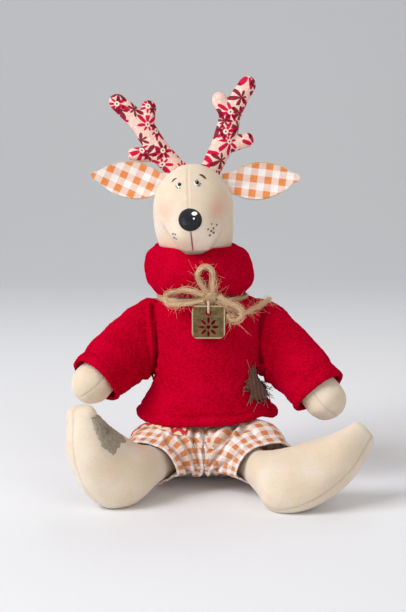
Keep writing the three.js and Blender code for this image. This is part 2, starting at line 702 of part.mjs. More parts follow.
function earForm(side, widthShare, forward) {
  const rise = earRise[side];
  const sign = sideSign[side];
  const along = new THREE.Vector3(sign * Math.cos(rise), 0, Math.sin(rise));
  const root = new THREE.Vector3(earRootX[side], earY - forward, earHeight);
  const half = through(earShares, earHalfWidth * widthShare);
  const share = (s) => (s * (earLength + overrun) - overrun) / earLength;
  return tube({
    spine: new THREE.LineCurve3(
      root.clone().addScaledVector(along, -overrun),
      root.clone().addScaledVector(along, earLength),
    ),
    tall: (s) => half(share(s)),
    wide: () => earWall / 2,
    cup: (s) => (sign * earCup * half(share(s))) / earHalfWidth,
    sides: 14,
    steps: 8,
    domes: [0, half(1)],
  }).subtract(headForm(seamGap));
}

function makeCollar() {
  const share = (z) => (z - collarBottom) / (collarTop - collarBottom);
  const wide = through(collarShares, collarHalfWidth);
  const deep = through(collarShares, collarHalfDepth);
  const outer = standing({
    heights: evenly(collarBottom, collarTop, 7, easeBoth),
    x: (z) => collarX + (headAxis.x - collarX) * share(z) ** 2,
    y: () => headAxis.y,
    wide: (z) => wide(share(z)),
    deep: (z) => deep(share(z)),
    sides: 26,
    dip: (z) => collarDip * share(z) ** 2,
  });
  const radius = (z) => headRadiusAt(z) + turnGap;
  const bore = standing({
    heights: evenly(collarBottom - overrun, collarTop + overrun, 6),
    x: () => headAxis.x,
    y: () => headAxis.y,
    wide: radius,
    deep: radius,
    sides: 26,
  });
  return outer.subtract(bore);
}

// Twine round the neck under the collar, tied in a bow that lies on the collar and the chest
const twineHeight = sweaterTop + seamGap + twineDiameter / 2;
const bowPoints = {
  upperLoop: [[2.4, -35.2, 126.7], [1.4, -34.9, 128.4], [0.1, -34.6, 130.6], [-1.1, -34.3, 132.8], [-2.3, -34, 135], [-3.2, -33.8, 137.4], [-3, -33.6, 139.9], [-1.6, -33.4, 141.9], [0.7, -33.3, 143], [3.2, -33.3, 142.7], [5.2, -33.5, 141.2], [6.2, -33.7, 138.9], [6.3, -33.9, 136.4], [6.2, -34.3, 133.9], [6.2, -34.7, 131.4], [6.2, -35.2, 128.9], [6.2, -35.6, 127]],
  westLoop: [[0.2, -35.4, 125.2], [-2.5, -35.2, 126.3], [-5.1, -34.9, 127.4], [-7.8, -33.9, 128], [-10.3, -32.5, 128.2], [-12.7, -31, 128], [-14.9, -29.2, 127.2], [-17.1, -27.6, 126.3], [-19.8, -26.7, 125.8], [-22.4, -27.4, 125], [-24, -29.2, 123.4], [-23.9, -31.2, 121.4], [-22.2, -32.8, 119.8], [-19.5, -33.5, 119.1], [-16.7, -34, 119.2], [-13.9, -34.6, 119.5], [-11.1, -35.3, 119.8], [-8.3, -35.8, 120.3], [-5.5, -36.3, 120.9], [-2.6, -36.5, 121.5], [0.2, -36.6, 122]],
  longTail: [[9.6, -35.4, 122.6], [12, -35.5, 120.7], [14.3, -35.2, 118.7], [16.4, -34.4, 116.8], [18.6, -33.1, 115.1], [20.9, -31.4, 113.9], [23.2, -29.5, 113.2], [25.5, -27.6, 113.1], [27.8, -25.5, 113.2], [30, -23.5, 113.7], [32.2, -21.5, 114.5], [34.3, -19.6, 115.4], [36.5, -17.7, 116.6], [38.6, -15.9, 117.8], [40.8, -14.3, 119.1], [43, -12.6, 120.4]],
  shortTail: [[9.6, -36.9, 124.6], [11.7, -36.8, 123.4], [13.8, -37.1, 122.3], [15.8, -37.3, 121.3], [17.9, -37.6, 120.3], [20, -37.8, 119.3], [22, -38, 118.2], [23.7, -37.8, 116.7], [24.4, -37.6, 114.5], [24, -37.4, 112.2], [22.5, -37.2, 110.5], [20.4, -37.1, 109.7], [18.1, -37.2, 110], [16.3, -37.3, 111.5], [15.3, -37.5, 113.6]],
};

function makeTwineRing() {
  const ring = new THREE.TorusGeometry(twineRingWide, twineDiameter / 2, 6, 32);
  ring.scale(1, twineRingDeep / twineRingWide, 1).translate(twineRingX, headAxis.y, twineHeight);
  return solidFrom(ring);
}

function makeKnot() {
  const lump = new THREE.SphereGeometry(1, 16, 9).scale(knotHalf.x, knotHalf.y, knotHalf.z);
  const loop = new THREE.TorusGeometry(tagLoopRadius, tagLoopWire, 6, 20).rotateY(Math.PI / 2);
  lump.translate(knotAt.x, knotAt.y, knotAt.z);
  loop.translate(tagPivot.x, tagPivot.y, tagPivot.z);
  return solidFrom(lump).add(solidFrom(loop));
}

// Tag, a rounded plate with a raised rim, a hole for the twine and a flower cut through it.
function roundedSquare(inset) {
  const half = tagSide / 2 - inset;
  const corner = tagCorner - inset;
  const middle = tagTopBar - tagSide / 2;
  const cornerSteps = 4;
  const points = [[1, 1], [-1, 1], [-1, -1], [1, -1]].flatMap(([right, high], quarter) =>
    Array.from({ length: cornerSteps + 1 }, (_, i) => {
      const angle = ((quarter + i / cornerSteps) * Math.PI) / 2;
      return new THREE.Vector2(
        right * (half - corner) + corner * Math.cos(angle),
        middle + high * (half - corner) + corner * Math.sin(angle),
      );
    }),
  );
  return new THREE.Shape(points);
}

function makeTag() {
  const plate = roundedSquare(0);
  plate.holes.push(new THREE.Path().absarc(0, -tagLoopRadius, tagHoleRadius, 0, 2 * Math.PI, true));
  plate.holes.push(new THREE.Path().absarc(0, -flowerDrop, flowerHeart, 0, 2 * Math.PI, true));
  for (let i = 0; i < petalCount; i += 1) {
    const angle = (2 * Math.PI * i) / petalCount;
    const [x, y] = [petalRadius * Math.cos(angle), petalRadius * Math.sin(angle) - flowerDrop];
    plate.holes.push(new THREE.Path().absellipse(x, y, petalHalfLength, petalHalfWidth, 0, 2 * Math.PI, true, angle));
  }
  const rim = roundedSquare(0);
  rim.holes.push(roundedSquare(tagRimWidth));
  const flat = new THREE.ExtrudeGeometry(plate, { depth: tagThick, bevelEnabled: false, curveSegments: 4 });
  const raised = new THREE.ExtrudeGeometry(rim, { depth: tagThick + tagRimRise, bevelEnabled: false, curveSegments: 4 });
  const place = (geometry) =>
    solidFrom(
      geometry
        .translate(0, 0, -tagThick / 2)
        .rotateX(Math.PI / 2 + tagTilt)
        .translate(tagPivot.x, tagPivot.y, tagPivot.z),
    );
  return place(flat).add(place(raised));
}

// Each group holds what moves together, and its origin is the point that it turns about.
const doll = new THREE.Group();

function group(pivot) {
  const made = new THREE.Group();
  made.position.copy(pivot);
  doll.add(made);
  return (name, solid, look) => {
    const geometry = geometryFrom(solid).translate(-pivot.x, -pivot.y, -pivot.z);
    const mesh = new THREE.Mesh(geometry, new THREE.MeshStandardMaterial(look));
    mesh.name = name;
    made.add(mesh);
  };
}

const body = group(new THREE.Vector3());
body("stuffed_body", makeStuffedBody(), calico);
body("sweater_body", makeSweaterBody(), fleece);
body("sweater_collar", makeCollar(), fleece);
body("sweater_patch", makeSweaterPatch(), brownKnit);
body("shorts_seat", makeShortsSeat(), gingham);
body("neck_twine", makeTwineRing(), jute);
body("twine_knot", makeKnot(), jute);
body("bow_upper_loop", cord(bowPoints.upperLoop, twineDiameter), jute);
body("bow_west_loop", cord(bowPoints.westLoop, twineDiameter), jute);
body("bow_long_tail", cord(bowPoints.longTail, twineDiameter), jute);
body("bow_short_tail", cord(bowPoints.shortTail, twineDiameter), jute);

const head = group(new THREE.Vector3(headAxis.x, headAxis.y, neckSeamHeight));
head("head", headForm(0), calico);
sideNames.forEach((side) => {
  head("antler_" + side, makeAntler(side), printCloth);
  head("ear_back_" + side, earForm(side, 1, 0), calico);
  head("ear_lining_" + side, earForm(side, liningShare, earWall + seamGap), gingham);
});

sideNames.forEach((side) => {
  const shoulder = new THREE.Vector3(trunkX + sideSign[side] * shoulderFace, trunkY, shoulderAxisHeight);
  const arm = group(shoulder);
  arm("arm_" + side, makeArm(side), calico);
  arm("sleeve_" + side, makeSleeve(side), fleece);
  const leg = group(hips[side]);
  leg("leg_" + side, makeLeg(side), calico);
  leg("shorts_leg_" + side, makeShortsLeg(side), gingham);
  if (side === "west") {
    leg("foot_patch", makeFootPatch(), greyFelt);
    leg("shorts_tape", makeShortsTape(), creamTape);
  }
});

const tag = group(tagPivot);
tag("tag_plate", makeTag(), brass);

export default doll;
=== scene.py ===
"""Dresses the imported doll: a seated plush reindeer in a fleece sweater and gingham shorts.

Lengths are written in millimetres and turned to metres when a mesh is made. Sides are named as a
viewer in front of the doll sees them: west is at -X and east is at +X. The doll faces -Y.
"""

import math

import bpy
import numpy as np
from bpy.props import FloatProperty, FloatVectorProperty, IntProperty, PointerProperty
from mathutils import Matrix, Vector


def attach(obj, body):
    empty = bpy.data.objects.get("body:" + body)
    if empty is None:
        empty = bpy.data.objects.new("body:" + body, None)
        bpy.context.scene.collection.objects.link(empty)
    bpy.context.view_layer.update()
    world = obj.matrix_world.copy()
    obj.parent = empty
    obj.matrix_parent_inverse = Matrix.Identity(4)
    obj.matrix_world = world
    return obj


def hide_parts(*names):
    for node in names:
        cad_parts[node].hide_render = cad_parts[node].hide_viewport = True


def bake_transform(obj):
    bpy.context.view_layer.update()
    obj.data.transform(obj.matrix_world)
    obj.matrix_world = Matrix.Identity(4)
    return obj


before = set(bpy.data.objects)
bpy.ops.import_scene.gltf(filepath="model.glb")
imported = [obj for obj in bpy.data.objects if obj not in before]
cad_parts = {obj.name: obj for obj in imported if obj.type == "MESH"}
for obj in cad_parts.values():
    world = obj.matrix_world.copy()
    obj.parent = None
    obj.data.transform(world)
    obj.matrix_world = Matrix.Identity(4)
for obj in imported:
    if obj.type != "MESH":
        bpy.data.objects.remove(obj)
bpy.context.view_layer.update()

bl_info = {
    "name": "Plush Reindeer",
    "version": (1, 0, 0),
    "blender": (4, 5, 0),
    "location": "3D View > Sidebar > Plush",
    "description": "Builds the cloth, stuffing seams, paint, twine and charm of a seated plush reindeer",
    "category": "Add Mesh",
}

MM = 0.001
UP = np.array([0.0, 0.0, 1.0])
SIDES = ("west", "east")
SIGN = {"west": -1.0, "east": 1.0}

# Hips and legs. INSTEP and SOLE are the edges of a leg's two panels, in shares of LEG_REACH along it and
# of FOOT_LENGTH across it. LEG_BULGE is its half width at even steps, in shares of ANKLE_RADIUS, and
# LEG_SWING is how far the thigh bows toward the middle.
HIP_MIDDLE = np.array([2.0, -25.5, 19.5])
HIP_TURN = math.radians(-5)
HIP_LINE = np.array([math.cos(HIP_TURN), math.sin(HIP_TURN), 0.0])
HIP_BACK = np.array([-HIP_LINE[1], HIP_LINE[0], 0.0])
HIP_SPACING = 24.0
HIPS = {side: HIP_MIDDLE + SIGN[side] * HIP_SPACING * HIP_LINE for side in SIDES}
LEG_REACH = 58.0
FOOT_LENGTH = 71.0
ANKLE_RADIUS = 15.4
THIGH_RADIUS = 11.6
LEG_YAW = {"west": 41.0, "east": 38.0}
FOOT_ROLL = {"west": 6.0, "east": 49.0}
LEG_SWING = {"west": 8.0, "east": 12.0}
INSTEP = np.array([
    [0, 0.163], [0.24, 0.166], [0.45, 0.194], [0.62, 0.255], [0.78, 0.375], [0.94, 0.505], [1.07, 0.63]])
SOLE = np.array([
    [0, -0.15], [0.45, -0.16], [0.9, -0.221], [1.17, -0.155], [1.34, 0.03], [1.4, 0.3], [1.33, 0.62]])
LEG_BULGE = [0.753, 0.82, 0.90, 1, 1.0, 0.95, 0.72]

# Shorts: the openings are ovals whose outer, inner, top and bottom halves differ.
SHORTS_YAW = {"west": 31.0, "east": 30.0}
OPENING_DROP = 1.3
OPENING_TALL = {"top": 15.4, "bottom": 12.5}
SHORTS_HALF_WIDTH = 34.0
SHORTS_HALF_DEPTH = 30.5
SHORTS_HEIGHT = 52.0
COTTON_WALL = 1.1
OPENING_WIDE = {"west": {"outer": 23.0, "inner": 22.0}, "east": {"outer": 26.0, "inner": 21.0}}

# Sweater. The three lists are shares of the half width, the half depth and the belly at even steps from
# the hem up. ARMHOLES are folds: a line in the front view as x and z, its depth and its half width.
CHEST = np.array([2.0, 0.0])
CHEST_HALF_WIDTH = 34.0
CHEST_HALF_DEPTH = 33.0
BELLY = 2.5
FLEECE_WALL = 2.2
ARMHOLES = (([(-31.8, 114), (-30.4, 99), (-29.5, 84), (-31.6, 70)], 1.5, 1.5),
            ([(40.0, 116), (36.6, 102), (35.4, 91), (37.1, 78)], 1.5, 1.5))
SHOULDER_Z = 95.0
SHOULDER_OUT = 34.4
SLEEVE_ROOT = {"tall": 25.0, "deep": 17.0}
CUFF_HALF = {"tall": 18.5, "deep": 17.5}
CUFF = {"west": np.array([-36.6, -24, -26]), "east": np.array([38.2, -24, -34])}
HEM_Z = 42.0
SWEATER_TOP = 118.6
SWEATER_WIDE = [1.34, 1.26, 1.13, 1.03, 0.985, 0.98, 0.98, 0.98, 0.985, 0.985, 0.985, 0.95]
SWEATER_DEEP = [1.13, 1.14, 1.13, 1.1, 1.06, 1.03, 1, 0.98, 0.96, 0.93, 0.88, 0.78]
SWEATER_FORWARD = [1, 1, 0.96, 0.9, 0.84, 0.8, 0.8, 0.8, 0.8, 0.62, 0.3, 0]

# Head: an egg on a neck, whose radii at even steps up to the cheeks are shares of HEAD_HALF.
HEAD_AXIS = np.array([-5.0, 1.0])
HEAD_TOP = 205.0
HEAD_HALF = 25.8
CHEEK_Z = 175.0
NECK_Z = 123.95
NECK_FOOT_Z = 123.6
CHIN_Z = 151.6
MUZZLE_Z = 168.0
MUZZLE_OUT = 45.5
MUZZLE_SPREAD = math.radians(30)
BROW_Z = 194.0
NECK_SHARES = [0.64, 0.668, 0.728, 0.81, 0.9, 0.962, 0.993, 1]
EAR_LONG = 41.0
EAR_HALF = 12.2
EAR_SHARES = [0.6, 0.85, 1, 0.99, 0.87, 0.62, 0.24]
BEAM_LONG = 65.0
ANTLER_Y = 9.5


# -------- sizes and colours for the user


def length_setting(name, description, default, low, high):
    """A length that the user can set, written in millimetres."""
    return FloatProperty(
        name=name, description=description, default=default * MM, min=low * MM, max=high * MM,
        unit="LENGTH", precision=4)


def colour_setting(name, description, default):
    """A colour that the user can set, in linear light."""
    return FloatVectorProperty(
        name=name, description=description, subtype="COLOR", size=3, default=default, min=0, max=1)


class PlushSizes(bpy.types.PropertyGroup):
    """Sizes of the cloth and the trimmings"""

    check: length_setting("Ear check", "Width of one coloured stripe of the ears' gingham", 4.6, 1, 20)
    shorts_check: length_setting("Shorts check", "Width of one coloured stripe of the shorts", 3.6, 1, 20)
    pile: length_setting("Fleece pile", "How far the nap of the fleece stands out", 0.55, 0, 4)
    twine: length_setting("Twine thickness", "Diameter of the twine of the bow", 2.0, 1, 5)
    motif: length_setting("Print repeat", "Distance between the flowers of the antlers' print", 14.0, 3, 30)
    fibres: IntProperty(
        name="Loose fibres", description="Loose fibres that stand off the twine",
        default=1400, min=0, max=3000)


class PlushColours(bpy.types.PropertyGroup):
    """Colours of the cloths, the paint and the metal"""

    calico: colour_setting("Calico", "Cream cotton of the skin", (0.84, 0.745, 0.62))
    fleece: colour_setting("Fleece", "Brushed fleece of the sweater", (0.52, 0.0004, 0.019))
    check: colour_setting("Gingham", "Coloured yarn of the gingham", (0.80, 0.25, 0.05))
    ground: colour_setting("White yarn", "White yarn of the gingham", (0.93, 0.91, 0.91))
    print_red: colour_setting("Print red", "Main red of the antlers' print", (0.62, 0.008, 0.06))
    jute: colour_setting("Jute", "Fibre of the twine", (0.76, 0.54, 0.33))
    brass: colour_setting("Brass", "Raised parts of the charm", (0.215, 0.145, 0.062))


class StudioSettings(bpy.types.PropertyGroup):
    """Light and floor of the stage"""

    key: FloatProperty(
        name="Window light", description="Power of the large soft light at the left",
        default=24.0, min=0.0, max=100.0)
    floor: colour_setting("Floor", "Pale floor and backdrop", (0.855, 0.88, 0.93))


# -------- mesh helpers


def through(values, share):
    """A smooth curve through values at even steps from 0 to 1, read at every share."""
    values = np.asarray(values, float)
    place = np.clip(np.asarray(share, float), 0, 1) * (len(values) - 1)
    i = np.minimum(np.floor(place).astype(int), len(values) - 2)
    t = place - i
    last = len(values) - 1
    a, b, c, d = (values[np.clip(i + k, 0, last)] for k in (-1, 0, 1, 2))
    if values.ndim > 1:
        t = t[..., None]
    rise, fall = (c - a) / 2, (d - b) / 2
    return ((2 * b - 2 * c + rise + fall) * t + (3 * c - 3 * b - 2 * rise - fall)) * t * t + rise * t + b


def smooth(low, high, x):
    """0 below low, 1 above high, and an even S between them."""
    t = np.clip((np.asarray(x, float) - low) / (high - low), 0, 1)
    return t * t * (3 - 2 * t)


def bell(x, width):
    """1 at 0, falling off evenly on both sides over about the given width."""
    return np.exp(-((x / width) ** 2))


def wrapped(angle, turn=2 * math.pi):
    """The angle, brought to half a turn on either side of 0."""
    return np.mod(angle + turn / 2, turn) - turn / 2


def dome(share, height, power=2):
    """Height over a patch: round, highest in the middle and 0 at its edge, where share is 1."""
    return height * np.sqrt(np.clip(1 - share**power, 0, 1))


def gone_along(points):
    """Distance gone at each point of a line, or of every column of a grid."""
    steps = np.linalg.norm(np.diff(points, axis=0), axis=-1)
    return np.concatenate([np.zeros_like(steps[:1]), np.cumsum(steps, axis=0)])


def read_at(distance, gone, points):
    """Points of a line at the given distances along it."""
    return np.stack([np.interp(distance, gone, column) for column in points.T], -1)


def closed(grid):
    """A grid with its first column once more after its last."""
    return np.concatenate([grid, grid[:, :1]], 1)


def pairs(u, v):
    """A grid of cloth coordinates in metres, from millimetres across and along."""
    return np.stack(np.broadcast_arrays(u, v), -1) * MM


def ripple(x, y, z, size, seed=0):
    """Soft lumps of about the given size: a sum of nine plane waves in fixed directions."""
    rng = np.random.default_rng(seed)
    total = 0
    for _ in range(9):
        way = rng.normal(size=3)
        way *= 2 * math.pi / size * rng.uniform(0.6, 1.4) / np.linalg.norm(way)
        total = total + np.sin(way[0] * x + way[1] * y + way[2] * z + rng.uniform(0, 2 * math.pi))
    return total / 4.5


def unit(v):
    """Vectors of length 1 the same way."""
    return v / np.linalg.norm(v, axis=-1, keepdims=True)


def cloth_mesh(name, points, round_way=True, round_rows=False, caps=(False, False), uv=None, marks=None,
               toward=None):
    """A mesh over a grid of points, rows by columns. round_way joins the last column to the first,
    round_rows the last row to the first, and caps closes the end rows with a fan. uv has one more column
    and row where these are round. marks are named grids kept on the points. Faces look out, or toward."""
    rows, cols = points.shape[:2]
    flat = points.reshape(-1, 3)
    r, c = np.meshgrid(
        np.arange(rows - (not round_rows)), np.arange(cols - (not round_way)), indexing="ij")
    n, m = (c + 1) % cols, (r + 1) % rows
    quads = np.stack([r * cols + c, r * cols + n, m * cols + n, m * cols + c], -1).reshape(-1, 4)
    p = flat - flat.mean(0)
    cross = np.cross(p[quads[:, 1]] - p[quads[:, 0]], p[quads[:, 3]] - p[quads[:, 0]])
    outward = cross if toward is None else cross * 0 + cross @ np.asarray(toward, float)[:, None] * np.ones(3)
    inside_out = (outward * (p[quads[:, 0]] if toward is None else 1)).sum() < 0
    if inside_out:
        quads = quads[:, ::-1]
    faces = quads.tolist()
    verts = [flat]
    count = len(flat)
    for end, row in ((0, 0), (1, rows - 1)):
        if not caps[end]:
            continue
        ring = np.arange(cols) + row * cols
        verts.append(flat[ring].mean(0, keepdims=True))
        after = np.roll(ring, -1)
        fan = np.stack([np.full(cols, count), *((after, ring) if end == 0 else (ring, after))], -1)
        faces += (fan[:, ::-1] if inside_out else fan).tolist()
        count += 1
    mesh = bpy.data.meshes.new(name)
    mesh.from_pydata((np.concatenate(verts) * MM).tolist(), [], faces)
    if uv is not None:
        layer = mesh.uv_layers.new(name="UVMap")
        corner = np.stack([uv[r, c], uv[r, c + 1], uv[r + 1, c + 1], uv[r + 1, c]], 2).reshape(-1, 4, 2)
        if inside_out:
            corner = corner[:, ::-1]
        data = np.zeros((len(mesh.loops), 2))
        data[: corner.size // 2] = corner.reshape(-1, 2)
        layer.data.foreach_set("uv", data.ravel())
    for mark, grid in (marks or {}).items():
        attribute = mesh.attributes.new(mark, "FLOAT", "POINT")
        data = np.zeros(len(mesh.vertices))
        data[: grid.size] = np.asarray(grid, float).ravel()
        attribute.data.foreach_set("value", data)
    mesh.shade_smooth()
    thing = bpy.data.objects.new(name, mesh)
    bpy.context.collection.objects.link(thing)
    return thing


def sweep(path, radius, sides=8, turn=0.0):
    """Rings round a path: each ring stands square to the path, carried along with the least twist."""
    path = np.asarray(path, float)
    along = unit(np.gradient(path, axis=0))
    side = np.cross(along[0], UP if abs(along[0][2]) < 0.9 else np.array([1.0, 0, 0]))
    sides_at = []
    for way in along:
        side = side - way * np.dot(side, way)
        side = side / np.linalg.norm(side)
        sides_at.append(side)
    a = np.array(sides_at)
    b = np.cross(along, a)
    angle = np.linspace(0, 2 * math.pi, sides, endpoint=False)[None, :] + turn
    radius = np.broadcast_to(np.asarray(radius, float), (len(path),))[:, None, None]
    cos, sin = np.cos(angle)[..., None], np.sin(angle)[..., None]
    return path[:, None, :] + radius * (a[:, None] * cos + b[:, None] * sin)


def along_path(points, step=0.6, soften=0.0):
    """A smooth path through points, read at even distances. soften blurs it along its length, with both
    ends kept, so that its bends open."""
    points = np.asarray(points, float)
    fine = through(points, np.linspace(0, 1, 40 * len(points)))
    gone = gone_along(fine)
    path = read_at(np.linspace(0, gone[-1], max(4, int(gone[-1] / step))), gone, fine)
    if soften:
        reach = int(4 * soften / step)
        weights = bell(np.arange(-reach, reach + 1) * step, soften * math.sqrt(2))
        before, after = 2 * path[0] - path[reach:0:-1], 2 * path[-1] - path[-2:-reach - 2:-1]
        padded = np.concatenate([before, path, after])
        path = np.stack([np.convolve(column, weights / weights.sum(), "valid") for column in padded.T], -1)
        return path, gone_along(path)[-1]
    return path, gone[-1]


def merged(name, things):
    """Several meshes as one piece."""
    for thing in bpy.context.selected_objects:
        thing.select_set(False)
    for thing in things:
        thing.select_set(True)
    bpy.context.view_layer.objects.active = things[0]
    bpy.ops.object.join()
    things[0].name = name
    things[0].data.name = name
    return things[0]


def dress(piece, material, body, replaces=()):
    """Gives a piece its material, its body and the solids that it stands for."""
    piece.data.materials.clear()
    piece.data.materials.append(material)
    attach(piece, body)
    if replaces:
        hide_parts(*replaces)
    return piece


# -------- finishes


class Finish:
    """A material's node tree, built in few words."""

    def __init__(self, name, colour, roughness=0.85, **sockets):
        self.material = bpy.data.materials.new(name)
        self.material.use_nodes = True
        self.material.diffuse_color = (*colour, 1)
        self.tree = self.material.node_tree
        self.shader = self.tree.nodes["Principled BSDF"]
        self.shader.inputs["Base Color"].default_value = (*colour, 1)
        self.shader.inputs["Roughness"].default_value = roughness
        for socket, value in sockets.items():
            self.shader.inputs[socket.replace("_", " ")].default_value = value

    def node(self, kind, inputs=None, **settings):
        """A new node with its settings, and its inputs by name or number: values or other sockets."""
        made = self.tree.nodes.new(kind)
        for key, value in settings.items():
            setattr(made, key, value)
        for key, value in (inputs or {}).items():
            self.put(made.inputs[key], value)
        return made

    def put(self, socket, value):
        if isinstance(value, bpy.types.NodeSocket):
            self.tree.links.new(value, socket)
        else:
            socket.default_value = value

    def where(self):
        """The place in the piece, in metres."""
        return self.node("ShaderNodeTexCoord").outputs["Object"]

    def cloth_way(self):
        """The place along the cloth, in metres."""
        return self.node("ShaderNodeUVMap", uv_map="UVMap").outputs["UV"]

    def mark(self, name):
        """A mark kept on the mesh, from 0 to 1."""
        return self.node("ShaderNodeAttribute", attribute_name=name).outputs["Fac"]

    def sum(self, operation, a, b=0.0, clamp=False, c=0.0):
        """One step of arithmetic."""
        return self.node(
            "ShaderNodeMath", {0: a, 1: b, 2: c}, operation=operation, use_clamp=clamp).outputs[0]

    def times(self, a, b):
        return self.sum("MULTIPLY", a, b)

    def step(self, value, low, high, to_low=0.0, to_high=1.0):
        """An even S from one value at low to another at high."""
        return self.node(
            "ShaderNodeMapRange",
            {"Value": value, "From Min": low, "From Max": high, "To Min": to_low, "To Max": to_high},
            interpolation_type="SMOOTHSTEP").outputs["Result"]

    def blend(self, share, a, b):
        """Colour a where share is 0 and colour b where it is 1."""
        made = self.node("ShaderNodeMix", data_type="RGBA")
        factor, first, second, result = made.inputs[0], made.inputs[6], made.inputs[7], made.outputs[2]
        self.put(factor, share)
        for socket, value in ((first, a), (second, b)):
            self.put(socket, (*value, 1) if isinstance(value, tuple) else value)
        return result

    def noise(self, size, detail=2.0, vector=None, roughness=0.5):
        """Noise whose lumps are about the given size in metres."""
        vector = vector if vector is not None else self.where()
        return self.node(
            "ShaderNodeTexNoise",
            {"Vector": vector, "Scale": 1 / size, "Detail": detail, "Roughness": roughness}).outputs["Fac"]

    def stained(self, tone, mark, strength, colour):
        """The tone, with a colour laid over it as far as a mark of the mesh says."""
        return self.blend(self.sum("MULTIPLY", self.mark(mark), strength, True), tone, colour)

    def mottled(self, tone, size, detail, low, high, strength, colour):
        """The tone, with soft patches of a colour where noise of the given size is high."""
        return self.blend(self.step(self.noise(size, detail), low, high, 0.0, strength), tone, colour)

    def parts(self, vector):
        """The three parts of a vector."""
        return self.node("ShaderNodeSeparateXYZ", {0: vector}).outputs

    def colour(self, socket):
        self.put(self.shader.inputs["Base Color"], socket)

    def bump(self, height, depth, strength=1.0):
        """Raises the surface by height, from 0 to 1, times a depth in metres."""
        chain = self.shader.inputs["Normal"]
        before = chain.links[0].from_socket if chain.links else None
        made = self.node("ShaderNodeBump", {"Height": height, "Distance": depth, "Strength": strength})
        if before:
            self.put(made.inputs["Normal"], before)
        self.put(chain, made.outputs[0])


def weave(finish, vector, thread, depth):
    """Plain weave: the product of two waves crosses over and under at every thread."""
    x, y, z = finish.parts(vector)
    turn = 2 * math.pi / (2 * thread)
    waves = [finish.sum("SINE", finish.times(finish.sum("ADD", way, finish.times(y, share)), turn))
             for way, share in ((x, 0.4), (z, 0.6))]
    finish.bump(finish.times(*waves), depth)


def cotton(finish, thread, depth, lump, swell):
    """A weave of threads and soft lumps of a size, with how deep each is."""
    weave(finish, finish.where(), thread, depth)
    finish.bump(finish.noise(lump, 2), swell, 0.5)
    return finish.material


def calico_finish(colours, name="calico", marks=True):
    """Cream cotton: a fine weave, slow changes of tone and, where the mesh has the marks, seams, a blush and,
    on the head, painted shade beside the muzzle and a painted reflection of the red collar."""
    finish = Finish(name, colours.calico, 0.9, Sheen_Weight=0.08, Sheen_Roughness=0.6,
                    Subsurface_Weight=0.5, Subsurface_Scale=4 * MM)
    finish.shader.inputs["Subsurface Radius"].default_value = (1.0, 0.42, 0.16)
    slow = finish.noise(22 * MM, 3)
    base = tuple(colours.calico)
    warm = tuple(c * k for c, k in zip(base, (0.97, 0.93, 0.87)))
    light = tuple(min(1, c * k) for c, k in zip(base, (1.03, 1.05, 1.10)))
    tone = finish.blend(finish.step(slow, 0.35, 0.7), warm, light)
    tone = finish.mottled(tone, 0.7 * MM, 2, 0.3, 0.8, 0.3, (0.62, 0.48, 0.33))
    if marks:
        # On the head the blush mark also carries a painted reflection of the collar and painted shade beside
        # the muzzle.
        tone = finish.stained(tone, "blush", 0.72, (0.90, 0.34, 0.22))
        # On the head the seam mark also carries painted shade beside the muzzle.
        tone = finish.stained(tone, "seam", 0.45, (0.40, 0.26, 0.14))
    finish.colour(tone)
    return cotton(finish, 0.4 * MM, 0.09 * MM, 5 * MM, 0.35 * MM)


def fleece_finish(colours, sizes, name="fleece"):
    """Brushed fleece: a matt nap of short fibres, a little darker between its tufts, with a soft sheen and
    painted shade along the folds that the mesh marks.
    """
    finish = Finish(name, colours.fleece, 1.0, Sheen_Weight=0.3, Sheen_Roughness=0.4)
    finish.shader.inputs["Sheen Tint"].default_value = (1.0, 0.0, 0.12, 1)
    finish.shader.inputs["Specular IOR Level"].default_value = 0.0
    flat = finish.node("ShaderNodeVectorMath", {0: finish.where(), 1: (1.0, 1.0, 1.9)}, operation="MULTIPLY")
    tufts = finish.noise(1.9 * MM, 4, flat.outputs[0], 0.62)
    base = tuple(colours.fleece)
    dark = tuple(c * 0.66 for c in base)
    light = (min(1, base[0] * 1.15), base[1] + 0.0005, base[2] + 0.012)
    tone = finish.blend(finish.step(tufts, 0.34, 0.6), dark, base)
    tone = finish.mottled(tone, 16 * MM, 2, 0.4, 0.75, 0.4, light)
    # Painted shade: darker along the folds that the fold mark gives.
    tone = finish.stained(tone, "fold", 0.65, (0.10, 0.0, 0.006))
    finish.colour(tone)
    finish.bump(finish.noise(4 * MM, 2), 1.2 * sizes.pile, 0.5)
    finish.bump(tufts, 1.2 * sizes.pile, 0.7)
    finish.bump(finish.noise(0.45 * MM, 2), 0.16 * MM, 0.5)
    return finish.material


def gingham_finish(colours, square, name="gingham", deep=1.0):
    """Gingham: coloured and white yarn in even stripes both ways, each a square wide, with a half tone
    where only one of the two is coloured. deep makes the coloured yarn darker."""
    finish = Finish(name, colours.check, 0.9, Sheen_Weight=0.05, Specular_IOR_Level=0.2)
    x, y, _ = finish.parts(finish.cloth_way())
    stripes = []
    for way in (x, y):
        share = finish.sum("PINGPONG", finish.sum("DIVIDE", way, square), 1.0)
        stripes.append(finish.step(share, 0.47, 0.53))
    both = finish.sum("POWER", finish.times(finish.sum("ADD", *stripes), 0.5), 1.3)
    ground, check = tuple(colours.ground), tuple(c * deep for c in colours.check)
    tone = finish.blend(both, ground, check)
    tone = finish.mottled(tone, 0.9 * MM, 2, 0.35, 0.75, 0.16, (0.9, 0.84, 0.78))
    tone = finish.mottled(tone, 12 * MM, 2, 0.4, 0.8, 0.12, (0.62, 0.38, 0.22))
    # Painted shade: darker along the folds that the fold mark gives.
    tone = finish.stained(tone, "fold", 0.7, (0.30, 0.11, 0.04))
    finish.colour(tone)
    return cotton(finish, 0.36 * MM, 0.06 * MM, 3.5 * MM, 0.3 * MM)


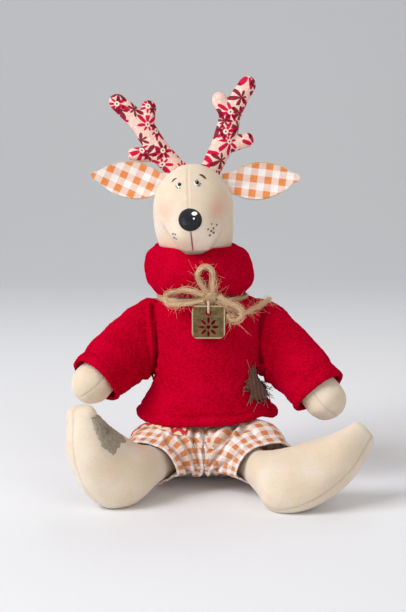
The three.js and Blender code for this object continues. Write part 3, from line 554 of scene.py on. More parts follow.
def print_finish(colours, sizes, name="print_cloth"):
    """Printed cotton: scattered sprays of pointed leaves in two reds round a small pale flower with a
    dark eye, and dots, on cream. Each spray sits in a Voronoi cell, and the angle round the cell's middle
    draws its leaves."""
    finish = Finish(name, colours.print_red, 0.9, Sheen_Weight=0.03, Specular_IOR_Level=0.1)
    x, y, z = finish.parts(finish.where())
    across = finish.sum("ADD", x, finish.times(y, 0.5))
    flat = finish.node("ShaderNodeCombineXYZ", {0: across, 1: z}).outputs[0]
    red = tuple(colours.print_red)
    ground = (0.88, 0.58, 0.50)
    dotted = finish.node(
        "ShaderNodeTexVoronoi", {"Vector": flat, "Scale": 1 / (1.9 * MM)}, voronoi_dimensions="2D")
    dots = finish.step(dotted.outputs["Distance"], 0.22, 0.3, 1.0, 0.0)
    tone = finish.blend(finish.times(dots, 0.75), ground, (0.9, 0.82, 0.74))

    def vectors(operation, *inputs):
        """One step of arithmetic on vectors."""
        return finish.node("ShaderNodeVectorMath", dict(enumerate(inputs)), operation=operation).outputs

    def sprays(size, leaves, reach, shift):
        """Where the leaves of sprays are, and the distance to the middle of the nearest one."""
        moved = vectors("ADD", flat, shift)[0]
        cell = finish.node(
            "ShaderNodeTexVoronoi", {"Vector": moved, "Scale": 1 / size, "Randomness": 0.7},
            voronoi_dimensions="2D")
        offset = vectors("SUBTRACT", moved, cell.outputs["Position"])[0]
        dx, dy, _ = finish.parts(offset)
        turn, _, _ = finish.parts(cell.outputs["Color"])
        angle = finish.sum("ADD", finish.sum("ARCTAN2", dy, dx), finish.times(turn, 6.28))
        far = finish.sum("DIVIDE", vectors("LENGTH", offset)["Value"], size)
        leaf = finish.sum("ABSOLUTE", finish.sum("COSINE", finish.times(angle, leaves / 2)))
        one_side = finish.sum("COSINE", finish.sum("SUBTRACT", angle, 1.0))
        fan = finish.sum("MULTIPLY_ADD", one_side, 0.35, c=0.75)
        edge = finish.times(finish.sum("POWER", leaf, 1.35), fan)
        edge = finish.sum("MULTIPLY_ADD", edge, reach, c=0.07)
        return finish.step(finish.sum("SUBTRACT", edge, far), -0.02, 0.02), far

    leaves, far = sprays(sizes.motif, 7.0, 0.6, (0.0, 0.0, 0.0))
    tone = finish.blend(leaves, tone, red)
    darker, _ = sprays(sizes.motif * 0.9, 6.0, 0.54, (4 * MM, 7 * MM, 0.0))
    tone = finish.blend(finish.times(darker, 0.96), tone, (0.22, 0.001, 0.02))
    tone = finish.blend(finish.step(far, 0.10, 0.14, 1.0, 0.0), tone, (0.88, 0.74, 0.62))
    tone = finish.blend(finish.step(far, 0.03, 0.05, 1.0, 0.0), tone, (0.12, 0.01, 0.02))
    tone = finish.stained(tone, "seam", 0.5, (0.30, 0.12, 0.08))
    finish.colour(tone)
    return cotton(finish, 0.34 * MM, 0.05 * MM, 4 * MM, 0.4 * MM)


def yarn_finish(name, base, dark, light, size, depth, marks=None):
    """Loose yarn or felt: fibres of a size in three tones over a matt ground, with painted shade where marks
    say.
    """
    finish = Finish(name, base, 0.95, Sheen_Weight=0.2)
    fibre = finish.noise(size, 4, roughness=0.7)
    tone = finish.blend(finish.step(fibre, 0.38, 0.62), dark, light)
    tone = finish.blend(0.35, tone, base)
    if marks:
        tone = finish.stained(tone, marks, 0.75, dark)
    finish.colour(tone)
    finish.bump(fibre, depth, 0.8)
    return finish.material


def jute_finish(colours):
    """Jute: painted shade darkens the grooves between its strands, and single fibres catch the light."""
    base = tuple(colours.jute)
    dark = tuple(c * 0.5 for c in base)
    light = tuple(min(1, c * 1.2 + 0.04) for c in base)
    return yarn_finish("jute", base, dark, light, 0.5 * MM, 0.15 * MM, "groove")


def brass_finish(colours, middle, half):
    """Aged brass: a dark patina with worn patches, and a rim rubbed bright, found by the distance from
    the plate's middle."""
    finish = Finish("aged_brass", colours.brass, 0.5, Metallic=0.75)
    worn = finish.noise(3.2 * MM, 4)
    fine = finish.noise(0.7 * MM, 3)
    x, _, z = finish.parts(finish.where())
    across = finish.sum("ABSOLUTE", finish.sum("SUBTRACT", x, middle.x))
    high = finish.sum("ABSOLUTE", finish.sum("SUBTRACT", z, middle.z))
    edge = finish.sum("MAXIMUM", across, high)
    base = tuple(colours.brass)
    dark = (0.13, 0.085, 0.04)
    bright = (0.60, 0.58, 0.36)
    tone = finish.blend(finish.step(worn, 0.35, 0.65), dark, base)
    tone = finish.blend(finish.step(fine, 0.55, 0.85, 0.0, 0.12), tone, bright)
    tone = finish.blend(finish.step(edge, half - 1.1 * MM, half - 0.5 * MM, 0.0, 0.8), tone, bright)
    finish.colour(tone)
    finish.put(finish.shader.inputs["Roughness"], finish.step(worn, 0.3, 0.7, 0.6, 0.34))
    finish.bump(fine, 0.12 * MM, 0.6)
    return finish.material


def paint_finish(name, colour, roughness, coat=0.0, texture=0.0):
    """Craft paint on cloth: the weave still shows through it."""
    finish = Finish(name, colour, roughness, Coat_Weight=coat, Coat_Roughness=0.12,
                    Specular_IOR_Level=0.15)
    light = tuple(min(1, c * 1.5 + 0.006) for c in colour)
    finish.colour(finish.mottled(colour, 0.8 * MM, 3, 0.35, 0.75, 1.0, light))
    if texture:
        weave(finish, finish.where(), 0.5 * MM, texture)
        finish.bump(finish.noise(2.5 * MM, 3), 3 * texture, 0.6)
    return finish.material


# -------- forms of the doll


def normals(points):
    """Outward normals of a grid that is round in its columns."""
    around = np.roll(points, -1, 1) - np.roll(points, 1, 1)
    along = np.gradient(points, axis=0)
    cross = np.cross(around, along)
    normal = cross / np.maximum(np.linalg.norm(cross, axis=-1, keepdims=True), 1e-9)
    out = ((points - points.mean(1, keepdims=True)) * normal).sum()
    return normal if out > 0 else -normal


def nap(shape, seed, passes=1):
    """Even random lumps over a round grid, blurred with their neighbours, with a spread of 1."""
    lumps = np.random.default_rng(seed).normal(size=shape)
    for _ in range(passes):
        lumps = lumps + sum(np.roll(lumps, k, axis) for axis in (0, 1) for k in (-1, 1))
    return lumps / lumps.std()


def walls(outer, wall):
    """Rows of a cloth tube: its outer wall, a rounded edge, its inner wall on the way back, and a rounded
    edge. The inner wall is the outer one moved in along its normals."""
    inner = outer - wall * normals(outer)
    near = (outer[0] + inner[0]) / 2 + unit(outer[0] - outer[1]) * wall * 0.45
    far = (outer[-1] + inner[-1]) / 2 + unit(outer[-1] - outer[-2]) * wall * 0.45
    return np.concatenate([outer, far[None], inner[::-1], near[None]])


def walled(grid):
    """A grid of marks or of cloth coordinates, repeated for the rows that walls makes."""
    return np.concatenate([grid, grid[-1:], grid[::-1], grid[:1]])


def around(count):
    """Angles at even steps round a ring."""
    return np.linspace(0, 2 * math.pi, count, endpoint=False)


def standing(heights, x, y, wide, deep, angle):
    """Ovals stacked at heights: x + wide sin(angle), y - deep cos(angle)."""
    heights, x, y, wide, deep = (
        np.broadcast_to(v, heights.shape)[:, None] for v in (heights, x, y, wide, deep))
    return np.stack([x + wide * np.sin(angle), y - deep * np.cos(angle), heights + 0 * angle], -1)


def sweater_rings(z, grow=0.0):
    """Middle, half width and half depth of the sweater at each height."""
    share = (z - HEM_Z) / (SWEATER_TOP - HEM_Z)
    return (CHEST[0], CHEST[1] - BELLY * through(SWEATER_FORWARD, share),
            CHEST_HALF_WIDTH * through(SWEATER_WIDE, share) + grow,
            CHEST_HALF_DEPTH * through(SWEATER_DEEP, share) + grow)


def on_sweater(x, z, lift):
    """The point of the sweater's front at x and z, lifted off it."""
    cx, cy, wide, deep = sweater_rings(z, lift)
    return np.stack([x, cy - deep * np.sqrt(np.clip(1 - ((x - cx) / wide) ** 2, 0, 1)), z], -1)


def head_radius(z):
    """Radius of the neck and of the egg of the head at each height."""
    low = through(NECK_SHARES, (z - NECK_FOOT_Z) / (CHEEK_Z - NECK_FOOT_Z)) * HEAD_HALF
    high = np.clip((z - CHEEK_Z) / (HEAD_TOP - CHEEK_Z), 0, 1)
    return np.where(z > CHEEK_Z, HEAD_HALF * np.sqrt(1 - high * high), low)


def muzzle_spread(z):
    """Angle to each side of straight ahead that the muzzle takes up: it narrows toward the chin."""
    return MUZZLE_SPREAD * (0.68 + 0.37 * smooth(CHIN_Z, MUZZLE_Z, z))


def head_point(angle, z, lift=0.0):
    """The head is an egg on a neck: its radius at each height, plus a lobe for the muzzle that falls off
    with the angle from straight ahead, is round under the chin and runs up to the brow."""
    low = np.clip((MUZZLE_Z - z) / (MUZZLE_Z - CHIN_Z), 0, 1)
    high = np.clip((z - MUZZLE_Z) / (BROW_Z - MUZZLE_Z), 0, 1)
    share = np.where(z < MUZZLE_Z, np.sqrt(np.clip(1 - low * low, 0, 1)), (1 + np.cos(math.pi * high)) / 2)
    lobe = np.exp(-np.abs(angle / muzzle_spread(z)) ** (2 + 2.6 * smooth(MUZZLE_Z + 4, CHIN_Z + 6, z)))
    far = head_radius(z) + (MUZZLE_OUT - HEAD_HALF) * share * lobe + lift
    cx = HEAD_AXIS[0] - 1.3 * smooth(152.6, CHEEK_Z, z)
    return np.stack([cx + far * np.sin(angle), HEAD_AXIS[1] - far * np.cos(angle), z + 0 * angle], -1)


def face_point(x, z, lift):
    """The point of the face at x and z, found by halving the range of angles thirty times."""
    low, high = np.full(np.shape(x), -1.45), np.full(np.shape(x), 1.45)
    for _ in range(30):
        middle = (low + high) / 2
        right = head_point(middle, z)[..., 0] > x
        low, high = np.where(right, low, middle), np.where(right, middle, high)
    return head_point((low + high) / 2, z, lift)


def ear_half(share):
    """Half the width of an ear at a share of its length."""
    return EAR_HALF * through(EAR_SHARES, np.clip(share, 0, 1))


def hip_out(side, degrees):
    """The level direction that leaves a hip forward, turned outward by some degrees."""
    a = math.radians(degrees)
    return np.array([SIGN[side] * math.sin(a), -math.cos(a), 0.0])


def off_floor(point):
    """Lifts the low front of the shorts between the legs a little off the floor."""
    x, y, z = np.moveaxis(point, -1, 0)
    point[..., 2] += 9.5 * smooth(17, 0, z) * smooth(-6, -24, y) * smooth(32, 14, np.abs(x - HIP_MIDDLE[0]))
    return point


def shorts_leg(side, t, phi, grow=0.0):
    """One leg of the shorts: every point runs along a cubic curve from a circle round the hip line to
    the oval of the opening. The outer side swings wide round the hip."""
    sign = SIGN[side]
    ahead = hip_out(side, SHORTS_YAW[side])
    aside = np.array([-sign * ahead[1], sign * ahead[0], 0.0])
    cos, sin = np.cos(phi)[..., None], np.sin(phi)[..., None]
    outer = (1 + sin) / 2
    wide = np.where(sin > 0, OPENING_WIDE[side]["outer"], OPENING_WIDE[side]["inner"])
    tall = np.where(cos > 0, OPENING_TALL["top"], OPENING_TALL["bottom"])
    seam_radius, opening_out, opening_back, seam_half = 19.6, 27, 8, 0.9
    root = HIP_MIDDLE + sign * seam_half * HIP_LINE + (seam_radius + grow) * (cos * UP + sin * HIP_BACK)
    under = ((1 - cos) / 2) ** 2
    mouth = HIPS[side] + (opening_out - opening_back * under) * ahead - OPENING_DROP * UP
    mouth = mouth + (tall + grow) * cos * UP + (wide + grow) * sin * aside
    first = root + sign * HIP_LINE * (9 + 33 * outer) + (3.4 + 4 * outer * (cos > 0)) * cos * UP
    second = mouth - ahead * (9 + 16 * outer) + 4.2 * cos * UP
    t = t[..., None]
    u = 1 - t
    point = u**3 * root + 3 * u * u * t * first + 3 * u * t * t * second + t**3 * mouth
    point = off_floor(point)
    point[..., 2] = np.maximum(point[..., 2], 0.35)
    return point


def creased(points, lines, ahead=(-26, -36)):
    """Folds in the front of a cloth, along lines in the front view as x and z: each a valley between two
    ridges, faded in between the two values of y in ahead. Gives the push out and the shade."""
    x, y, z = np.moveaxis(points, -1, 0)
    push, shade = np.zeros(x.shape), np.zeros(x.shape)
    front = smooth(*ahead, y)
    for line, deep, width in lines:
        at, _ = along_path([(a, 0, b) for a, b in line], 0.8)
        away = np.sqrt(((x[..., None] - at[:, 0]) ** 2 + (z[..., None] - at[:, 2]) ** 2).min(-1))
        push = push + front * deep * (0.8 * bell(away - 2.0 * width, width) - bell(away, width))
        shade = np.maximum(shade, front * bell(away, 0.8 * width) * min(1, deep / 1.6))
    return push, shade


def leg_frame(side):
    """Directions of a leg: along it, across from sole to instep, and out of its flat side."""
    level = hip_out(side, LEG_YAW[side])
    roll = math.radians(FOOT_ROLL[side])
    sole, bulge = SOLE[2][1] * FOOT_LENGTH, LEG_BULGE[2] * ANKLE_RADIUS
    depth = math.hypot(sole * math.cos(roll), bulge * math.sin(roll))
    pitch = math.asin((HIP_MIDDLE[2] + 0.5 - depth) / (SOLE[2][0] * LEG_REACH))
    along = level * math.cos(pitch) - UP * math.sin(pitch)
    rise = UP * math.cos(pitch) + level * math.sin(pitch)
    out = np.cross(level, UP) * -SIGN[side]
    across = rise * math.cos(roll) + out * math.sin(roll)
    return along, across, np.cross(along, across)


def leg_point(side, s, angle, grow=0.0, push=0.0, shrink=1.0):
    """A leg of two like panels: at each share s its section is an oval from the edge along the instep to
    that along the sole. The thigh is fuller and bows toward the middle, as a bell round 0.4 of the leg."""
    along, across, bulge = leg_frame(side)
    size = np.array([LEG_REACH, FOOT_LENGTH])
    instep, sole = through(INSTEP, s) * size, through(SOLE, s) * size
    middle = (instep + sole) / 2
    span = instep - middle
    full = bell(s - 0.4, 0.28)
    span = span * (1 + (grow + 1.2 * full) / np.linalg.norm(span, axis=-1))[..., None]
    ahead = unit(np.stack([span[..., 1], -span[..., 0]], -1))
    middle = middle + ahead * np.asarray(push)[..., None]
    flat = middle + span * (shrink * np.cos(angle))[..., None]
    half = (through(LEG_BULGE, s) * ANKLE_RADIUS * (1 + 0.12 * full) + grow) * shrink * np.sin(angle)
    inward = np.cross(hip_out(side, LEG_YAW[side]), UP) * SIGN[side]
    aside = (LEG_SWING[side] * full)[..., None] * inward
    return HIPS[side] + flat[..., :1] * along + flat[..., 1:] * across + half[..., None] * bulge + aside


def arm_line(side):
    """Shoulder, bend, cuff and the way that the forearm hangs."""
    out = np.array([SIGN[side], 0.0, 0.0])
    shoulder = np.array([CHEST[0], CHEST[1], SHOULDER_Z]) + out * SHOULDER_OUT
    bend = shoulder + out * 10
    cuff = shoulder + CUFF[side]
    return out, shoulder, bend, cuff, unit(cuff - bend)


def sleeve_point(side, t, angle, grow=0.0):
    """A sleeve: every point runs along a quadratic curve from an upright oval at the shoulder to that
    of the cuff. Its upper side first runs out level."""
    out, shoulder, _, cuff, hanging = arm_line(side)
    rise = unit(UP - hanging * (UP @ hanging))
    cos, sin = np.cos(angle)[..., None], np.sin(angle)[..., None]
    aside = np.cross(hanging, rise)
    root = shoulder - 2 * UP + (SLEEVE_ROOT["tall"] + grow) * cos * UP
    root = root + (SLEEVE_ROOT["deep"] + grow) * sin * np.cross(out, UP)
    end = cuff + (CUFF_HALF["tall"] + grow) * cos * rise + (CUFF_HALF["deep"] + grow) * sin * aside
    middle = root + out * 17 * (1 + cos) / 2
    t = t[..., None]
    return (1 - t) ** 2 * root + 2 * t * (1 - t) * middle + t * t * end


def outlined(outline, rings, spokes, seed=0, fray=0.0):
    """Flat polar grid inside an outline, in rings from its middle and even steps round it, with an
    optional ragged edge."""
    outline = np.asarray(outline, float)
    loop = np.concatenate([outline, outline[:1]])
    gone = gone_along(loop)
    edge = read_at(np.linspace(0, gone[-1], spokes, endpoint=False), gone, loop)
    middle = edge.mean(0)
    if fray:
        edge = middle + (edge - middle) * (1 + fray * nap((1, spokes), seed, 1)[0][:, None])
    share = np.linspace(0.02, 1, rings)[:, None, None]
    return middle + share * (edge - middle), share[..., 0] + 0 * edge[None, :, 0]


def painted(name, grid, share, place, lift):
    """A thin patch of paint: a flat polar grid laid on the face, highest in the middle and let into the
    cloth at its edge."""
    rise = dome(share, lift) - 0.03
    return cloth_mesh(name, place(grid[..., 0], grid[..., 1], rise), caps=(True, False), toward=(0, -1, 0))


def stroke(points, width, taper=0.35):
    """A flat brush stroke as a polar grid: an oval band round a smooth line through points."""
    line, _ = along_path([(x, 0, z) for x, z in points], 0.25)
    line = line[:, [0, 2]]
    way = unit(np.gradient(line, axis=0))
    side = np.stack([-way[:, 1], way[:, 0]], -1)
    share = np.linspace(0, 1, len(line))
    half = width / 2 * (taper + (1 - taper) * np.sin(math.pi * share) ** 0.7)
    across = np.linspace(-1, 1, 7)
    grid = line[:, None] + side[:, None] * (half[:, None] * across[None, :])[..., None]
    return grid, np.broadcast_to(np.abs(across)[None, :], grid.shape[:2])


# -------- operators


class PlushStep(bpy.types.Operator):
    """Makes one group of pieces of the doll"""

    bl_options = {"REGISTER", "UNDO"}

    def execute(self, context):
        self.sizes = context.scene.plush_sizes
        self.colours = context.scene.plush_colours
        self.studio = context.scene.plush_studio
        self.make(context)
        return {"FINISHED"}


class PLUSH_OT_camera(PlushStep):
    """Places the camera at the photograph's angle"""

    bl_idname = "plush.camera"
    bl_label = "Camera"

    focal_length = 85.06
    tilt = math.radians(9)
    away = 940 * MM
    target = Vector((0, 0, 113 * MM))

    def make(self, context):
        lens = bpy.data.cameras.new("camera")
        lens.sensor_fit = "AUTO"
        lens.sensor_width = 36
        lens.lens = self.focal_length
        lens.clip_start, lens.clip_end = 10 * MM, 50000 * MM
        camera = bpy.data.objects.new("camera", lens)
        context.collection.objects.link(camera)
        camera.location = self.target + Vector((0, -math.cos(self.tilt), math.sin(self.tilt))) * self.away
        camera.rotation_euler = (self.target - camera.location).to_track_quat("-Z", "Y").to_euler()
        context.scene.camera = camera


# The route of each cord of the bow, point by point, as the solids have it.
BOW = {
    "bow_upper_loop": [
        (2.4, -35.2, 126.7), (1.4, -34.9, 128.4), (0.1, -34.6, 130.6), (-1.1, -34.3, 132.8),
        (-2.3, -34, 135), (-3.2, -33.8, 137.4), (-3, -33.6, 139.9), (-1.6, -33.4, 141.9),
        (0.7, -33.3, 143), (3.2, -33.3, 142.7), (5.2, -33.5, 141.2), (6.2, -33.7, 138.9),
        (6.3, -33.9, 136.4), (6.2, -34.3, 133.9), (6.2, -34.7, 131.4), (6.2, -35.2, 128.9),
        (6.2, -35.6, 127)],
    "bow_west_loop": [
        (0.2, -35.4, 125.2), (-2.5, -35.2, 126.3), (-5.1, -34.9, 127.4), (-7.8, -33.9, 128),
        (-10.3, -32.5, 128.2), (-12.7, -31, 128), (-14.9, -29.2, 127.2), (-17.1, -27.6, 126.3),
        (-19.8, -26.7, 125.8), (-22.4, -27.4, 125), (-24, -29.2, 123.4), (-23.9, -31.2, 121.4),
        (-22.2, -32.8, 119.8), (-19.5, -33.5, 119.1), (-16.7, -34, 119.2), (-13.9, -34.6, 119.5),
        (-11.1, -35.3, 119.8), (-8.3, -35.8, 120.3), (-5.5, -36.3, 120.9), (-2.6, -36.5, 121.5),
        (0.2, -36.6, 122)],
    "bow_long_tail": [
        (9.6, -35.4, 122.6), (12, -35.5, 120.7), (14.3, -35.2, 118.7), (16.4, -34.4, 116.8),
        (18.6, -33.1, 115.1), (20.9, -31.4, 113.9), (23.2, -29.5, 113.2), (25.5, -27.6, 113.1),
        (27.8, -25.5, 113.2), (30, -23.5, 113.7), (32.2, -21.5, 114.5), (34.3, -19.6, 115.4),
        (36.5, -17.7, 116.6), (38.6, -15.9, 117.8), (40.8, -14.3, 119.1), (43, -12.6, 120.4)],
    "bow_short_tail": [
        (9.6, -36.9, 124.6), (11.7, -36.8, 123.4), (13.8, -37.1, 122.3), (15.8, -37.3, 121.3),
        (17.9, -37.6, 120.3), (20, -37.8, 119.3), (22, -38, 118.2), (23.7, -37.8, 116.7),
        (24.4, -37.6, 114.5), (24, -37.4, 112.2), (22.5, -37.2, 110.5), (20.4, -37.1, 109.7),
        (18.1, -37.2, 110), (16.3, -37.3, 111.5), (15.3, -37.5, 113.6)],
}
SEAM_GAP = 0.35
TWINE_Z = SWEATER_TOP + SEAM_GAP + 1.0
KNOT = np.array([4.8, -33.6, 123.4])
TAG_HANGER = np.array([3.4, -37.2, 118.2])
HANGER_RADIUS = 3.4
NECK_RING = np.array([-0.5, 1.0])
NECK_RING_HALF = {"wide": 29.0, "deep": 27.0}


def twine(name, path, diameter, ring=False, turns_per_mm=0.16, ends=(1.0, 1.0)):
    """Three-strand twine: its radius has three lobes that wind round the path, and where it isn't a
    ring its ends are drawn in to shares of that radius."""
    sides = 24
    rings = sweep(path, 1.0, sides)
    gone = gone_along(path)
    angle = around(sides)[None, :] + 2 * math.pi * turns_per_mm * gone[:, None]
    lobe = np.abs(np.cos(1.5 * angle))
    radius = diameter / 2 * (0.80 + 0.2 * lobe + 0.035 * nap(lobe.shape, 5, 1))
    if not ring:
        places, shares = [0, 1.2, gone[-1] - 1.2, gone[-1]], [ends[0], 1, 1, ends[1]]
        radius = radius * np.interp(gone, places, shares)[:, None]
    points = path[:, None] + (rings - path[:, None]) * radius[..., None]
    # The groove mark is painted shade between the strands.
    marks = {"groove": 1 - smooth(0.15, 0.7, lobe)}
    return cloth_mesh(name, points, round_rows=ring, caps=(not ring, not ring), marks=marks)


def hairs(name, lines, thick):
    """Many thin fibres as one mesh: three-sided tubes round lines, a grid of count by steps points,
    that thin to their tips."""
    count, steps = lines.shape[:2]
    way = unit(np.gradient(lines, axis=1))
    side = unit(np.cross(way, np.array([0.31, 0.72, 0.62])))
    other = np.cross(way, side)
    a = around(3)
    ring = side[:, :, None] * np.cos(a)[:, None] + other[:, :, None] * np.sin(a)[:, None]
    thin = thick * (1 - 0.55 * np.linspace(0, 1, steps) ** 2)[None, :, None, None]
    points = (lines[:, :, None] + thin * ring).reshape(-1, 3) * MM
    hair, row, turn = np.meshgrid(np.arange(count), np.arange(steps - 1), np.arange(3), indexing="ij")
    base = (hair * steps + row) * 3
    after = (turn + 1) % 3
    faces = np.stack([base + turn, base + after, base + 3 + after, base + 3 + turn], -1).reshape(-1, 4)
    mesh = bpy.data.meshes.new(name)
    mesh.from_pydata(points.tolist(), [], faces.tolist())
    thing = bpy.data.objects.new(name, mesh)
    bpy.context.collection.objects.link(thing)
    return thing


class PLUSH_OT_twine(PlushStep):
    """Makes the twine round the neck, its knot, the bow's loops and tails and their loose fibres"""

    bl_idname = "plush.twine"
    bl_label = "Twine and bow"

    neck_steps = 240
    strands_each = 22

    def make(self, context):
        jute = jute_finish(self.colours)
        thick = self.sizes.twine / MM
        paths = {}
        for name, points in BOW.items():
            path, length = along_path(points, 0.4, 0.9)
            paths[name] = path
            piece = twine(name.replace("bow", "twine"), path, thick)
            dress(piece, jute, "torso", [name])
        a = around(self.neck_steps)
        ring = np.stack([
            NECK_RING[0] + NECK_RING_HALF["wide"] * np.sin(a),
            NECK_RING[1] - NECK_RING_HALF["deep"] * np.cos(a), TWINE_Z + 0 * a], -1)
        paths["neck"] = ring
        dress(twine("twine_neck", ring, thick, ring=True), jute, "torso", ["neck_twine"])
        dress(self.knot(thick, paths), jute, "torso", ["twine_knot"])
        dress(self.strands(paths), jute, "torso")
        dress(self.fibres(paths), jute, "torso")

    def knot(self, thick, paths):
        """An overhand knot: two turns of twine round the middle of the bow, one across them, and the
        ring of thin twine that the charm hangs on."""
        x, y, z = KNOT
        a = np.linspace(0, 4 * math.pi, 120)
        climb = a - 6.3
        wind = np.stack([
            x + 3.1 * np.cos(a) + 0.25 * climb, y - 0.3 - 1.9 * np.sin(a),
            z + 2.4 * np.sin(a + 0.9) - 0.1 * climb], -1)
        b = np.linspace(0, 2 * math.pi, 60)
        cross = np.stack([x + 2.2 * np.sin(b), y - 0.6 - 1.8 * np.cos(b), z + 2.9 * np.cos(b + 0.5)], -1)
        x, y, z = TAG_HANGER
        hang = np.stack([x + 0 * b, y + HANGER_RADIUS * np.sin(b), z + HANGER_RADIUS * np.cos(b)], -1)[:-1]
        paths["knot"] = wind
        return merged("twine_knot_turns", [
            twine("turns", wind, thick * 1.1), twine("cross", cross[:-1], thick * 1.1, ring=True),
            twine("hanger", hang, 1.6, ring=True)])

    def strands(self, paths):
        """Loose strands of the twine that run along each cord, wander round it and stand a little off."""
        rng = np.random.default_rng(17)
        lines = []
        for name, path in paths.items():
            if name == "neck":
                path = path[np.abs(np.mod(np.arange(len(path)) + 60, self.neck_steps) - 60) < 52]
                path = path[np.argsort(path[:, 0])]
            share = np.linspace(0, 1, 48)
            line = read_at(np.linspace(0, len(path) - 1, 48), np.arange(len(path)), path)
            along = unit(np.gradient(line, axis=0))
            side = unit(np.cross(along, UP + 0.01))
            rise = np.cross(side, along)
            for _ in range(self.strands_each):
                turn = rng.uniform(0, 6.3) + rng.uniform(-9, 9) * share
                turn = turn + 1.2 * np.sin(rng.uniform(3, 9) * share + rng.uniform(0, 6))
                stands = rng.uniform(0.2, 2.1)
                far = 0.8 + stands * np.abs(np.sin(rng.uniform(2, 9) * share + rng.uniform(0, 6)))
                aside, over = far * np.cos(turn), far * np.sin(turn)
                lines.append(line + aside[:, None] * side + over[:, None] * rise)
        return hairs("twine_strands", np.array(lines), 0.15)

    def fibres(self, paths):
        """Loose fibres: bent hairs that start on the twine, most of them at the knot and at the two tails."""
        rng = np.random.default_rng(11)
        tail = paths["bow_short_tail"][-20:]
        everywhere = np.concatenate([*paths.values(), np.repeat(paths["knot"], 2, 0), *([tail] * 4)])
        front = everywhere[everywhere[:, 1] < -8]
        count = self.sizes.fibres
        start = front[rng.integers(0, len(front), count)] + rng.normal(size=(count, 3)) * 0.5
        way = unit(rng.normal(size=(count, 3)) * [1, 0.5, 0.7] + np.array([0.0, -0.3, -0.1]))
        curl = rng.normal(size=(count, 3)) * [0.9, 0.5, 0.9]
        length = rng.uniform(1.5, 6.5, (count, 1, 1)) * rng.uniform(0.4, 1, (count, 1, 1))
        s = np.linspace(0, 1, 9)[None, :, None]
        lines = start[:, None] + length * (s * way[:, None] + s * s * curl[:, None])
        return hairs("twine_fibres", lines, 0.07)


class PLUSH_OT_body(PlushStep):
    """Makes the stuffed body inside the clothes"""

    bl_idname = "plush.body"
    bl_label = "Stuffed body"

    def make(self, context):
        angle = around(64)
        bottom, shoulders, neck_radius, hollow, arm_seat = 1.75, 115, 15.4, 24.9, 29.5
        z = np.concatenate([np.linspace(1.8, 113, 60), [114.6, 115.2, 116, 118, 123.4]])
        share = np.clip((z - bottom) / (shoulders - bottom), 0, 1)
        wide = 29 * through([0.8, 0.98, 1.03, 1.03, 1, 0.98, 0.96, 0.92, 0.72], share)
        deep = 27 * through([0.82, 0.94, 0.98, 1.02, 1.04, 1.03, 1, 0.92, 0.72], share)
        neck = smooth(113, 116, z)
        wide, deep = wide + (neck_radius - wide) * neck, deep + (neck_radius - deep) * neck
        points = standing(z, 2 - 7 * neck, 0 + neck, wide, deep, angle)
        ahead = (points - HIP_MIDDLE) @ HIP_BACK
        low = points[..., 2] < HIP_MIDDLE[2] + hollow
        limit = np.sqrt(np.clip(hollow**2 - (points[..., 2] - HIP_MIDDLE[2]) ** 2, 0, None))
        points = points + (np.maximum(limit * low - ahead, 0) * low)[..., None] * HIP_BACK
        points[..., 0] = np.clip(points[..., 0], CHEST[0] - arm_seat, CHEST[0] + arm_seat)
        trunk = cloth_mesh("trunk", points, caps=(True, True))
        across = np.linspace(-3.2, 3.2, 5)[:, None]
        keel = sweep(HIP_MIDDLE + across * HIP_LINE, [10, 10.8, 10.8, 10.8, 10], 40)
        piece = merged("body", [trunk, cloth_mesh("keel", keel, caps=(True, True))])
        dress(piece, calico_finish(self.colours, "body_calico", False), "torso", ["stuffed_body"])


class PLUSH_OT_head(PlushStep):
    """Makes the head with its muzzle and seams"""

    bl_idname = "plush.head"
    bl_label = "Head"

    side_seam = 1.62
    stitch = 2.6
    # Strength, middle across and up, half width and half height of each blush. The first two are the cheeks;
    # the third, low and wide above the collar, is a painted reflection of the red collar.
    blush = ((0.55, -23.6, 177.0, 6.0, 7.0), (0.7, 9.2, 178.6, 5.0, 6.6), (0.4, -19.0, 155.0, 10.0, 5.0))

    def make(self, context):
        even = np.linspace(-math.pi, math.pi, 180, endpoint=False)
        angle = even - 0.6 * np.sin(even)
        ease = np.sin(np.linspace(0, math.pi / 2, 74))
        z = np.concatenate([
            np.linspace(NECK_Z, CHIN_Z - 0.35, 26),
            CHIN_Z + (MUZZLE_Z - CHIN_Z) * (1 - np.sin(np.linspace(math.pi / 2, 0, 26))),
            (MUZZLE_Z + (HEAD_TOP - MUZZLE_Z) * ease)[1:-1]])[:, None]
        flat = head_point(angle[None, :], z)
        x, y, zz = np.moveaxis(flat, -1, 0)
        angle = angle[None, :]
        above_collar = smooth(150, 153, z)
        front = np.cos(angle) > 0
        # The centre seam wanders a little across, and stands between two ridges on the forehead.
        middle = -9.0 - 0.7 * smooth(180, 199, z) + 2.7 * smooth(172, 158, z)
        seam = bell(x - middle, 0.55) * front * above_collar
        ridge = bell(np.abs(x - middle) - 1.5, 0.8) * front * smooth(176, 182, z)
        side = bell(np.abs(angle) - self.side_seam, 0.022) * above_collar
        pucker = 0.12 * np.sin(z * 2 * math.pi / self.stitch)
        lift = 0.35 * ripple(x, y, zz, 15, 3) - 0.3 * seam - 0.4 * side + 0.22 * ridge
        lift = lift + (seam + side) * pucker
        points = head_point(angle, z, lift)
        # The blush mark holds the painted cheeks and the painted reflection of the collar.
        blush = front * sum(
            deep * bell(x - at, wide) * bell(zz - up, tall) for deep, at, up, wide, tall in self.blush)
        # Painted shade: the cloth is a little darker in the hollow beside the muzzle, down to the jaw,
        # through both the blush and the seam marks.
        painted_jaw_shade = bell(np.abs(angle) / muzzle_spread(z) - 1.15, 0.28) * smooth(MUZZLE_Z, CHIN_Z + 5, z)
        marks = {"blush": blush + 0.3 * painted_jaw_shade, "seam": 0.22 * seam + 0.5 * side + 0.5 * painted_jaw_shade}
        piece = cloth_mesh("head_calico", points, caps=(True, True), marks=marks)
        dress(piece, calico_finish(self.colours), "head", ["head"])


